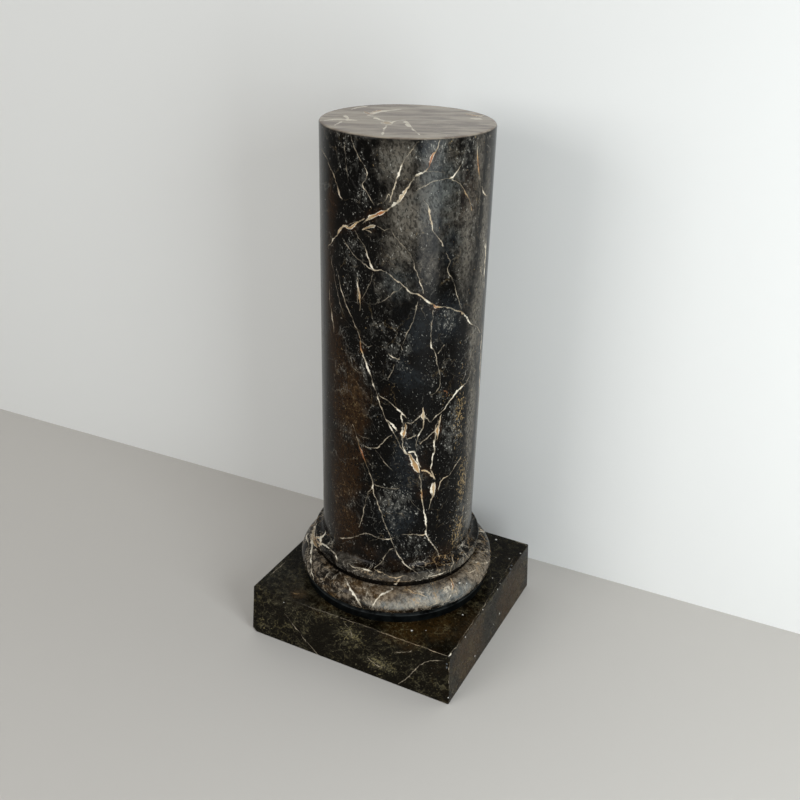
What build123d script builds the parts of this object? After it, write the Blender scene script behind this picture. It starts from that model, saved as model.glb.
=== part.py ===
from build123d import *
import math
import os

# Display column of painted wood: a turned, hollow shaft on a moulded base and a low plinth.
# Millimetres, +Z up. The origin is the middle of the underside, and the plinth's front faces -Y.

# Driving sizes
columnHeight = 853.0
shaftRadius = 125.0
shaftWall = 14.0
topThickness = 18.0
topArris = 3.5
spigotDepth = 20.0
spigotClearance = 0.2

# Plinth, nearly square, whose faces spread a little from its top to its foot
plinthTopWidth = 363.0
plinthTopDepth = 342.0
plinthSpread = 4.0
plinthHeight = 93.0
plinthTopThickness = 16.0
plinthWall = 14.0
plinthArris = 2.0
blockSide = 30.0
blockChamfer = 2.0
blockClearance = 0.2

# Turned mouldings, from the plinth upwards
discRadius = 156.0
discHeight = 13.0
discArris = 1.0
torusRadius = 163.0
torusHeight = 42.0
quirkRadius = 131.0
quirkHeight = 10.0
collarRadius = 139.0
collarHeight = 19.0
collarArris = 2.5

# Wood screws that hold the mouldings to the plinth from below
screwCount = 6
screwCircleRadius = 95.0
screwLength = 50.0
screwShankRadius = 2.5
screwHeadRadius = 5.0
screwHeadHeight = 3.2
screwSink = 0.5
screwClearance = 0.15

# Wear: a bruised foot corner at the front left, a knocked top corner at the front right
footBruise = 9.0
topKnock = 5.0

# Levels and radii that follow
frameHeight = plinthHeight - plinthTopThickness
torusBottom = plinthHeight + discHeight
quirkBottom = torusBottom + torusHeight
collarBottom = quirkBottom + quirkHeight
cavettoRadius = collarRadius - collarArris - shaftRadius
collarTop = collarBottom + collarHeight
shaftBottom = collarTop + cavettoRadius
shaftTop = columnHeight - topThickness
shaftBore = shaftRadius - shaftWall
spigotRadius = shaftBore - spigotClearance
topHalfWidth = plinthTopWidth / 2
topHalfDepth = plinthTopDepth / 2
footHalfWidth = topHalfWidth + plinthSpread
footHalfDepth = topHalfDepth + plinthSpread
insideHalfWidth = topHalfWidth - plinthWall
insideHalfDepth = topHalfDepth - plinthWall


def plinthSection(level, inset):
    """The plinth's outline at a level, moved in by inset, on the straight slope of its faces."""
    spread = plinthSpread * (1 - level / plinthHeight) - inset
    width = plinthTopWidth + 2 * spread
    depth = plinthTopDepth + 2 * spread
    return Pos(0, 0, level) * RectangleRounded(width, depth, plinthArris)


def plinthBody():
    """The plinth's outside, with sloping faces and eased edges."""
    levels = [0, plinthArris, plinthHeight - plinthArris, plinthHeight]
    insets = [plinthArris, 0, 0, plinthArris]
    sections = [plinthSection(level, inset) for level, inset in zip(levels, insets)]
    return loft(sections, ruled=True)


def cornerCut(x, y, z, size):
    """A block that takes off the corner at x, y, z as far as size along each of its edges."""
    reach = 10 * size
    out = Vector(math.copysign(1, x), math.copysign(1, y), 1 if z > 0 else -1)
    plane = Plane(origin=Vector(x, y, z) - out * (size / 3), z_dir=out)
    return plane * Pos(0, 0, reach / 2) * Box(reach, reach, reach)


def wornPlinth():
    """The plinth's outside with the two corners that wear has taken."""
    body = plinthBody()
    body -= cornerCut(-footHalfWidth, -footHalfDepth, 0, footBruise)
    body -= cornerCut(topHalfWidth, -topHalfDepth, plinthHeight, topKnock)
    return body


def layer(body, bottom, height):
    """The slice of a body from bottom up to height above it."""
    slab = Pos(0, 0, bottom + height / 2)
    return body & slab * Box(4 * topHalfWidth, 4 * topHalfDepth, height)


def plinthTopBoard(body):
    """The top board, with clearance holes and countersinks for the screws."""
    return drilled(layer(body, frameHeight, plinthTopThickness))


def cornersAt(outset):
    """The plinth's four corners in plan, moved out by outset, from the front right one round."""
    x = topHalfWidth + outset
    y = topHalfDepth + outset
    return [(x, -y), (x, y), (-x, y), (-x, -y)]


def plinthBoards(body):
    """Four boards, mitred at the corners, that stand under the top board."""
    ring = layer(body, 0, frameHeight)
    ring -= Pos(0, 0, frameHeight / 2) * Box(
        2 * insideHalfWidth, 2 * insideHalfDepth, frameHeight
    )
    outer = cornersAt(2 * plinthSpread)
    inner = cornersAt(-2 * plinthWall)
    names = ["plinth_right_board", "plinth_back_board", "plinth_left_board", "plinth_front_board"]
    boards = {}
    for side, name in enumerate(names):
        after = (side + 1) % len(names)
        outline = Polyline(outer[side], outer[after], inner[after], inner[side], close=True)
        boards[name] = ring & extrude(make_face(outline), frameHeight)
    return boards


def cornerBlocks():
    """Glue blocks in the four inner corners of the plinth."""
    x = insideHalfWidth - blockClearance - blockSide / 2
    y = insideHalfDepth - blockClearance - blockSide / 2
    height = frameHeight - blockClearance
    level = frameHeight - height / 2
    block = Box(blockSide, blockSide, height)
    block = chamfer(block.edges().filter_by(Axis.Z), blockChamfer)
    places = [Pos(right * x, back * y, level) for right in (-1, 1) for back in (-1, 1)]
    return Compound(children=[place * block for place in places])


def screwPlaces():
    """The heads' places, evenly round the circle, just inside the top board's underside."""
    level = frameHeight + screwSink
    return [Pos(0, 0, level) * spot for spot in PolarLocations(screwCircleRadius, screwCount)]


def screwShape(grow):
    """A countersunk screw with its head down, or with grow above zero the hole that it goes in."""
    head = Pos(0, 0, screwHeadHeight / 2) * Cone(
        screwHeadRadius + grow, screwShankRadius + grow, screwHeadHeight
    )
    shank = Pos(0, 0, (screwLength + grow) / 2) * Cylinder(
        screwShankRadius + grow, screwLength + grow
    )
    shape = head + shank
    if grow > 0:
        mouth = 2 * screwSink
        shape += Pos(0, 0, -mouth / 2) * Cylinder(screwHeadRadius + grow, mouth)
    return shape


def drilled(moulding):
    """A moulding with the screws' holes in it."""
    for place in screwPlaces():
        moulding -= place * screwShape(screwClearance)
    return moulding


def turned(lines):
    """A solid turned about the column's axis from the lines of half its section."""
    return revolve(make_face(Curve() + lines), Axis.Z)


def upright(x, z):
    """A point of a section, at x from the axis and z above the floor."""
    return Vector(x, 0, z)


def baseDisc():
    """The thin disc that lies on the plinth, with its upper edge eased."""
    centre = Pos(0, 0, plinthHeight + discHeight / 2)
    disc = centre * Cylinder(discRadius, discHeight)
    return drilled(chamfer(disc.edges().sort_by(Axis.Z)[-1], discArris))


def torusMoulding():
    """The fat half-round moulding."""
    bulge = torusHeight / 2
    middle = torusRadius - bulge
    low = upright(middle, torusBottom)
    high = upright(middle, quirkBottom)
    nose = ThreePointArc(low, upright(torusRadius, torusBottom + bulge), high)
    foot = Line(upright(0, torusBottom), low)
    head = Line(high, upright(0, quirkBottom))
    axis = Line(upright(0, quirkBottom), upright(0, torusBottom))
    return drilled(turned([foot, nose, head, axis]))


def collarMoulding():
    """The quirk, the collar and the cavetto that runs into the shaft, with the shaft's spigot."""
    lowEdge = collarRadius - collarArris
    spigotTop = shaftBottom + spigotDepth
    sweep = cavettoRadius * math.sqrt(0.5)
    outside = Polyline(
        upright(0, quirkBottom),
        upright(quirkRadius, quirkBottom),
        upright(quirkRadius, collarBottom),
        upright(lowEdge, collarBottom),
        upright(collarRadius, collarBottom + collarArris),
        upright(collarRadius, collarTop - collarArris),
        upright(lowEdge, collarTop),
    )
    cavetto = ThreePointArc(
        upright(lowEdge, collarTop),
        upright(lowEdge - sweep, shaftBottom - sweep),
        upright(shaftRadius, shaftBottom),
    )
    spigot = Polyline(
        upright(shaftRadius, shaftBottom),
        upright(spigotRadius, shaftBottom),
        upright(spigotRadius, spigotTop),
        upright(0, spigotTop),
        upright(0, quirkBottom),
    )
    return turned([outside, cavetto, spigot])


def shaftTube():
    """The hollow shaft, open at both ends, which the collar and the top disc close."""
    ring = Circle(shaftRadius) - Circle(shaftBore)
    return Pos(0, 0, shaftBottom) * extrude(ring, shaftTop - shaftBottom)


def topDisc():
    """The disc that people stand things on, with its rim eased and its spigot in the shaft."""
    disc = Pos(0, 0, shaftTop + topThickness / 2) * Cylinder(shaftRadius, topThickness)
    disc = fillet(disc.edges().sort_by(Axis.Z)[-1], topArris)
    return disc + Pos(0, 0, shaftTop - spigotDepth / 2) * Cylinder(spigotRadius, spigotDepth)


def baseScrews():
    """The screws, up through the plinth's top board into the disc and the torus."""
    return Compound(children=[place * screwShape(0) for place in screwPlaces()])


def main():
    os.makedirs("parts", exist_ok=True)
    body = wornPlinth()
    nodes = {
        "plinth_top_board": plinthTopBoard(body),
        "plinth_corner_blocks": cornerBlocks(),
        "base_disc": baseDisc(),
        "torus_moulding": torusMoulding(),
        "collar_moulding": collarMoulding(),
        "shaft_tube": shaftTube(),
        "top_disc": topDisc(),
        "base_screws": baseScrews(),
    }
    nodes.update(plinthBoards(body))
    for name, shape in nodes.items():
        export_step(shape, f"parts/{name}.step")


main()
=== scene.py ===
import math

import bpy
import numpy as np
from mathutils import Matrix, Vector


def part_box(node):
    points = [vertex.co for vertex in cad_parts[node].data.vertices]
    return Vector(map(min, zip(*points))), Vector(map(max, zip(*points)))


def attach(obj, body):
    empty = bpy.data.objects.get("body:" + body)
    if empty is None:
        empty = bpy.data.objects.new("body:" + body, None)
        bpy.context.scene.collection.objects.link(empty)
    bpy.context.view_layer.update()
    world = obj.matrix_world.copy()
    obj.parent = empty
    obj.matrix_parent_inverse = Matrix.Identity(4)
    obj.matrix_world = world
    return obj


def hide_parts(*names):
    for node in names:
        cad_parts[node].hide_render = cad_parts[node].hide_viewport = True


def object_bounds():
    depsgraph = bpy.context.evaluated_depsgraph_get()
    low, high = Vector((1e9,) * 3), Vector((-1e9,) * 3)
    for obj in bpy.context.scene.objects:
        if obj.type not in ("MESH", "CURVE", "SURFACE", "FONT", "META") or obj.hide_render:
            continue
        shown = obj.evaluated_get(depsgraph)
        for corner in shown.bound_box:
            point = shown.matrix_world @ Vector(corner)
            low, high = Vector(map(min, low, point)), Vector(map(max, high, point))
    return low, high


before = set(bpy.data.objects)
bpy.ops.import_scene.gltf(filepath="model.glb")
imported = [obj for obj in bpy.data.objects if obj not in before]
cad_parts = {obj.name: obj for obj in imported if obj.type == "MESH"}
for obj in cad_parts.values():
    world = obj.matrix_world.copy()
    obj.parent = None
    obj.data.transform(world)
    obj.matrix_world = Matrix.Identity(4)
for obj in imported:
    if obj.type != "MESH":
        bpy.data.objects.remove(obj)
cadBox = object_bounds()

# Levels and radii of the column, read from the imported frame, in metres
shaftLow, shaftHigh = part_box("shaft_tube")
topLow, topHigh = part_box("top_disc")
torusLow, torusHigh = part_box("torus_moulding")
collarLow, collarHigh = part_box("collar_moulding")
discLow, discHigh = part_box("base_disc")
boardLow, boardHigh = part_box("plinth_top_board")

column = {
    "height": cadBox[1][2],
    "shaftRadius": shaftHigh[0],
    "shaftWall": 0.014,
    "shaftBottom": shaftLow[2],
    "shaftTop": shaftHigh[2],
    "topArris": 0.0035,
    "spigotDepth": shaftHigh[2] - topLow[2],
    "spigotTop": collarHigh[2],
    "spigotClearance": 0.0002,
    "discRadius": discHigh[0],
    "discBottom": discLow[2],
    "discTop": discHigh[2],
    "discArris": 0.001,
    "torusRadius": torusHigh[0],
    "torusBottom": torusLow[2],
    "torusTop": torusHigh[2],
    "quirkRadius": 0.131,
    "quirkHeight": 0.010,
    "collarRadius": collarHigh[0],
    "collarArris": 0.0025,
    "cavetto": 0.0115,
    # how finely the skins are divided: points round the axis and rows along the long stretches
    "around": 440,
    "discAround": 360,
    "shaftRows": 214,
    "topRows": 56,
    "torusRows": 44,
    "sharpDegrees": 34,
}

plinth = {
    "height": boardHigh[2],
    "boardUnder": boardLow[2],
    "topHalfWidth": 0.1815,
    "topHalfDepth": 0.1710,
    "spread": 0.0040,
    "arris": 0.0020,
    "wall": 0.0140,
    "footBruise": 0.009,
    "topKnock": 0.005,
    "underGap": 0.0007,  # the skin's ceiling stays this far above the top board's underside
    "insideRound": 0.001,
    "ringRadius": 0.150,  # within it the top's rows are circles
    "cornerSteps": 5,
    "sideSteps": 178,
    "faceRows": 58,
    "topRows": 37,
}

# Where the photographer stood: turned to the right of the front, looking down at the column
view = {
    "turnDegrees": 26.542,
    "distance": 1.4127,
    "height": 1.1193,
    "panDegrees": -0.034,
    "tiltDegrees": 26.54,
    "rollDegrees": 1.512,
    "lens": 44.392,
    "sensor": 36.0,
    "pictureSize": 800.0,
    # lines of sight are followed from the nearest to the farthest mark, then halved in on the surface
    "nearest": 0.9,
    "farthest": 2.2,
    "marks": 1300,
    "halvings": 18,
}


def addObject(name, data):
    made = bpy.data.objects.new(name, data)
    bpy.context.scene.collection.objects.link(made)
    return made


def cameraAxes():
    # the camera's place, and unit vectors forward, right and up, in the frame's axes
    turn = math.radians(view["turnDegrees"])
    pan = math.radians(view["panDegrees"])
    tilt = math.radians(view["tiltDegrees"])
    roll = math.radians(view["rollDegrees"])
    place = np.array([0.0, -view["distance"], view["height"]])
    forward = np.array([
        math.sin(pan) * math.cos(tilt), math.cos(pan) * math.cos(tilt), -math.sin(tilt)])
    level = np.array([math.cos(pan), -math.sin(pan), 0.0])
    upright = np.cross(level, forward)
    right = math.cos(roll) * level + math.sin(roll) * upright
    up = -math.sin(roll) * level + math.cos(roll) * upright
    spin = np.array([
        [math.cos(turn), -math.sin(turn), 0.0],
        [math.sin(turn), math.cos(turn), 0.0],
        [0.0, 0.0, 1.0]])
    return spin @ place, spin @ forward, spin @ right, spin @ up


def makeCamera():
    place, forward, right, up = cameraAxes()
    data = bpy.data.cameras.new("photographerCamera")
    data.lens = view["lens"]
    data.sensor_width = view["sensor"]
    camera = addObject("photographerCamera", data)
    camera.matrix_world = Matrix([
        [right[0], up[0], -forward[0], place[0]],
        [right[1], up[1], -forward[1], place[1]],
        [right[2], up[2], -forward[2], place[2]],
        [0, 0, 0, 1]])
    bpy.context.scene.camera = camera


makeCamera()
print("camera placed")


# Outlines of the turned pieces, as rows of radius and level from the inside round to the inside

def arcPoints(centre, radius, startDegrees, endDegrees, count):
    # points on a circle: centre plus radius times cosine and sine of the angle
    angles = np.radians(np.linspace(startDegrees, endDegrees, count))
    return np.column_stack([centre[0] + radius * np.cos(angles), centre[1] + radius * np.sin(angles)])


def linePoints(start, end, count):
    # evenly spaced points from start to end
    share = np.linspace(0.0, 1.0, count)[:, None]
    return np.array(start) * (1 - share) + np.array(end) * share


def joined(*runs):
    # runs set end to end, with the doubled points taken out
    points = np.vstack(runs)
    keep = np.ones(len(points), bool)
    keep[1:] = np.linalg.norm(np.diff(points, axis=0), axis=1) > 1e-7
    return points[keep]


def spigotRadius():
    return column["shaftRadius"] - column["shaftWall"] - column["spigotClearance"]


def shaftOutline():
    outer, inner = column["shaftRadius"], column["shaftRadius"] - column["shaftWall"]
    low, high = column["shaftBottom"], column["shaftTop"]
    return joined(
        linePoints((outer, low), (outer, high), column["shaftRows"]),
        linePoints((outer, high), (inner, high), 3),
        linePoints((inner, high), (inner, low), 8),
        linePoints((inner, low), (outer, low), 3)[:-1])


def topOutline():
    radius, arris = column["shaftRadius"], column["topArris"]
    low, high = column["shaftTop"], column["height"]
    spigot, foot = spigotRadius(), low - column["spigotDepth"]
    return joined(
        linePoints((0.0, foot), (spigot, foot), 4),
        linePoints((spigot, foot), (spigot, low), 3),
        linePoints((spigot, low), (radius, low), 2),
        linePoints((radius, low), (radius, high - arris), 7),
        arcPoints((radius - arris, high - arris), arris, 0, 90, 7),
        linePoints((radius - arris, high), (0.0, high), column["topRows"]))


def torusOutline():
    low, high = column["torusBottom"], column["torusTop"]
    bulge = (high - low) / 2
    middle = column["torusRadius"] - bulge
    return joined(
        linePoints((0.0, low), (middle, low), 5),
        arcPoints((middle, low + bulge), bulge, -90, 90, column["torusRows"]),
        linePoints((middle, high), (0.0, high), 8))


def collarOutline():
    arris, cavetto = column["collarArris"], column["cavetto"]
    radius, quirk, shaft = column["collarRadius"], column["quirkRadius"], column["shaftRadius"]
    edge, spigot = radius - arris, spigotRadius()
    low = column["torusTop"]
    bottom = low + column["quirkHeight"]
    shaftBottom, spigotTop = column["shaftBottom"], column["spigotTop"]
    top = shaftBottom - cavetto
    return joined(
        linePoints((0.0, low), (quirk, low), 3),
        linePoints((quirk, low), (quirk, bottom), 4),
        linePoints((quirk, bottom), (edge, bottom), 2),
        arcPoints((edge, bottom + arris), arris, -90, 0, 6),
        linePoints((radius, bottom + arris), (radius, top - arris), 7),
        arcPoints((edge, top - arris), arris, 0, 90, 6),
        arcPoints((edge, shaftBottom), cavetto, 270, 180, 12),
        linePoints((shaft, shaftBottom), (spigot, shaftBottom), 3),
        linePoints((spigot, shaftBottom), (spigot, spigotTop), 2),
        linePoints((spigot, spigotTop), (0.0, spigotTop), 3))


def discOutline():
    radius, arris = column["discRadius"], column["discArris"]
    low, high = column["discBottom"], column["discTop"]
    return joined(
        linePoints((0.0, low), (radius, low), 3),
        linePoints((radius, low), (radius, high - arris), 4),
        arcPoints((radius - arris, high - arris), arris, 0, 90, 5),
        linePoints((radius - arris, high), (0.0, high), 4))


def gridMesh(name, grid, poles):
    # rows of points that each run round the axis, joined to the next row, with a pole at each end,
    # or with the last row joined to the first where there are no poles
    count, around = grid.shape[:2]
    vertices = grid.reshape(-1, 3)
    here = np.arange(around)
    there = (here + 1) % around
    strips = count if poles is None else count - 1
    first = (np.arange(strips) * around)[:, None]
    second = ((np.arange(strips) + 1) % count * around)[:, None]
    quads = np.stack([first + here, first + there, second + there, second + here], axis=-1)
    corners = quads.reshape(-1)
    sizes = np.full(strips * around, 4)
    if poles is not None:
        footPole, headPole = len(vertices), len(vertices) + 1
        vertices = np.vstack([vertices, [[0, 0, poles[0]], [0, 0, poles[1]]]])
        last = (count - 1) * around
        foot = np.stack([np.full(around, footPole), there, here], axis=-1).reshape(-1)
        head = np.stack([np.full(around, headPole), last + here, last + there], axis=-1).reshape(-1)
        corners = np.concatenate([corners, foot, head])
        sizes = np.concatenate([sizes, np.full(2 * around, 3)])
    mesh = bpy.data.meshes.new(name)
    mesh.vertices.add(len(vertices))
    mesh.vertices.foreach_set("co", vertices.astype(np.float32).reshape(-1))
    mesh.loops.add(len(corners))
    mesh.loops.foreach_set("vertex_index", corners.astype(np.int32))
    mesh.polygons.add(len(sizes))
    starts = np.concatenate([[0], np.cumsum(sizes)[:-1]])
    mesh.polygons.foreach_set("loop_start", starts.astype(np.int32))
    mesh.update(calc_edges=True)
    mesh.validate()
    mesh.polygons.foreach_set("use_smooth", np.ones(len(mesh.polygons), bool))
    mesh.set_sharp_from_angle(angle=math.radians(column["sharpDegrees"]))
    return mesh


def turnedMesh(name, outline, around):
    # each point of the outline carried round the axis: x = r cos a, y = r sin a, z as it is
    closedLoop = outline[0, 0] > 1e-9
    rows = outline if closedLoop else outline[1:-1]
    angles = np.linspace(0.0, 2 * np.pi, around, endpoint=False)
    grid = np.empty((len(rows), around, 3))
    grid[:, :, 0] = rows[:, :1] * np.cos(angles)
    grid[:, :, 1] = rows[:, :1] * np.sin(angles)
    grid[:, :, 2] = rows[:, 1:]
    return gridMesh(name, grid, None if closedLoop else (outline[0, 1], outline[-1, 1]))


def planRow(halfWidth, halfDepth, radius, level):
    # points round a rectangle with rounded corners, the same count at every size
    corners = [(1, -1, -90), (1, 1, 0), (-1, 1, 90), (-1, -1, 180)]
    arcs = []
    for right, back, start in corners:
        angles = np.radians(start + np.linspace(0, 90, plinth["cornerSteps"] + 1))
        arcs.append(np.column_stack([right * (halfWidth - radius) + radius * np.cos(angles),
                                     back * (halfDepth - radius) + radius * np.sin(angles)]))
    runs = []
    for index, arc in enumerate(arcs):
        following = arcs[(index + 1) % 4]
        share = np.linspace(0, 1, plinth["sideSteps"] + 1)[1:-1, None]
        runs += [arc, arc[-1] * (1 - share) + following[0] * share]
    plan = np.vstack(runs)
    return np.column_stack([plan, np.full(len(plan), level)])


def plinthGrid():
    # from the middle of the underside out to the inner walls, down, out over the foot, up the
    # sloping faces, over the arris and in across the top, whose rows turn into circles
    height, arris = plinth["height"], plinth["arris"]
    under, inside = plinth["boardUnder"] + plinth["underGap"], plinth["insideRound"]
    topWidth, topDepth = plinth["topHalfWidth"], plinth["topHalfDepth"]
    insideWidth, insideDepth = topWidth - plinth["wall"], topDepth - plinth["wall"]

    def faceRow(level, inset):
        spread = plinth["spread"] * (1 - level / height) - inset
        return planRow(topWidth + spread, topDepth + spread, arris, level)

    rows = []
    for share in (0.25, 0.6, 1.0):
        rows.append(planRow(insideWidth * share, insideDepth * share, inside, under))
    for level in np.linspace(under, 0, 6)[1:]:
        rows.append(planRow(insideWidth, insideDepth, inside, level))
    turns = np.radians(np.linspace(0, 90, 5))
    for turn in turns:
        rows.append(faceRow(arris * (1 - math.cos(turn)), arris * (1 - math.sin(turn))))
    for level in np.linspace(arris, height - arris, plinth["faceRows"])[1:-1]:
        rows.append(faceRow(level, 0))
    for turn in turns:
        rows.append(faceRow(height - arris * (1 - math.sin(turn)), arris * (1 - math.cos(turn))))
    edge = rows[-1]
    angles = np.arctan2(edge[:, 1], edge[:, 0])
    ring = np.column_stack([plinth["ringRadius"] * np.cos(angles),
                            plinth["ringRadius"] * np.sin(angles), edge[:, 2]])
    rows += [edge * (1 - share) + ring * share for share in np.linspace(0, 1, plinth["topRows"])[1:]]
    rows += [ring * [share, share, 1] for share in (0.66, 0.33)]
    grid = np.stack(rows)
    # the worn corners: points beyond a slanting plane are laid back onto it
    footWidth, footDepth = topWidth + plinth["spread"], topDepth + plinth["spread"]
    cuts = [((-footWidth, -footDepth, 0.0), (-1, -1, -1), plinth["footBruise"]),
            ((topWidth, -topDepth, height), (1, -1, 1), plinth["topKnock"])]
    for corner, out, size in cuts:
        normal = np.array(out) / math.sqrt(3)
        beyond = np.clip((grid - np.array(corner)) @ normal + size / math.sqrt(3), 0, None)
        grid = grid - beyond[..., None] * normal
    return grid, under


def plinthMesh():
    grid, under = plinthGrid()
    return gridMesh("plinthSkin", grid, (under, plinth["height"]))


def placePiece(name, mesh, node, material):
    piece = addObject(name, mesh)
    mesh.materials.append(material)
    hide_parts(*([node] if isinstance(node, str) else node))
    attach(piece, "root")


# Where a line of sight through a spot of the picture meets the column

def outsideRadius(level):
    # the turned outside's radius at each level above the plinth
    bulge = (column["torusTop"] - column["torusBottom"]) / 2
    middle = column["torusRadius"] - bulge
    rise = level - (column["torusBottom"] + bulge)
    torus = middle + np.sqrt(np.clip(bulge ** 2 - rise ** 2, 0, None))
    quirkTop = column["torusTop"] + column["quirkHeight"]
    collarTop = column["shaftBottom"] - column["cavetto"]
    lift = np.clip(level - column["shaftBottom"], -column["cavetto"], 0)
    edge = column["collarRadius"] - column["collarArris"]
    hollow = edge - np.sqrt(np.clip(column["cavetto"] ** 2 - lift ** 2, 0, None))
    radius = np.full_like(level, column["shaftRadius"])
    radius = np.where(level < column["shaftBottom"], hollow, radius)
    radius = np.where(level < collarTop, column["collarRadius"], radius)
    radius = np.where(level < quirkTop, column["quirkRadius"], radius)
    radius = np.where(level < column["torusTop"], torus, radius)
    radius = np.where(level < column["discTop"], column["discRadius"], radius)
    return radius


def depthInside(points):
    # how far points lie inside the column's outside, above zero inside
    level = points[..., 2]
    radius = np.hypot(points[..., 0], points[..., 1])
    turned = np.minimum(outsideRadius(level) - radius, column["height"] - level)
    spread = plinth["spread"] * (1 - np.clip(level / plinth["height"], 0, 1))
    within = np.minimum(plinth["topHalfWidth"] + spread - np.abs(points[..., 0]),
                        plinth["topHalfDepth"] + spread - np.abs(points[..., 1]))
    within = np.minimum(within, plinth["height"] - level)
    return np.maximum(np.where(level > plinth["height"], turned, -1.0), within)


def castSpots(spots):
    # the first place on the column that each spot's line of sight meets
    place, forward, right, up = cameraAxes()
    reach = view["lens"] / view["sensor"] * view["pictureSize"]
    middle = view["pictureSize"] / 2
    spots = np.asarray(spots, float)
    rays = (forward + right * ((spots[:, :1] - middle) / reach)
            - up * ((spots[:, 1:2] - middle) / reach))
    marks = np.linspace(view["nearest"], view["farthest"], view["marks"])
    depth = depthInside(place + rays[:, None, :] * marks[None, :, None])
    firstIn = np.argmax(depth > 0, axis=1)
    met = depth.max(axis=1) > 0
    low = marks[np.maximum(firstIn - 1, 0)]
    high = marks[firstIn]
    for halving in range(view["halvings"]):
        middleMark = (low + high) / 2
        within = depthInside(place + rays * middleMark[:, None]) > 0
        high = np.where(within, middleMark, high)
        low = np.where(within, low, middleMark)
    return place + rays * high[:, None], met


def readRuns(text):
    # named runs of rows: a name and a colon, rows of numbers with commas between, a semicolon
    runs = {}
    for entry in text.split(";")[:-1]:
        name, rows = entry.split(":")
        runs[name.strip()] = [tuple(float(part) for part in row.split()) for row in rows.split(",")]
    return runs


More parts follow.
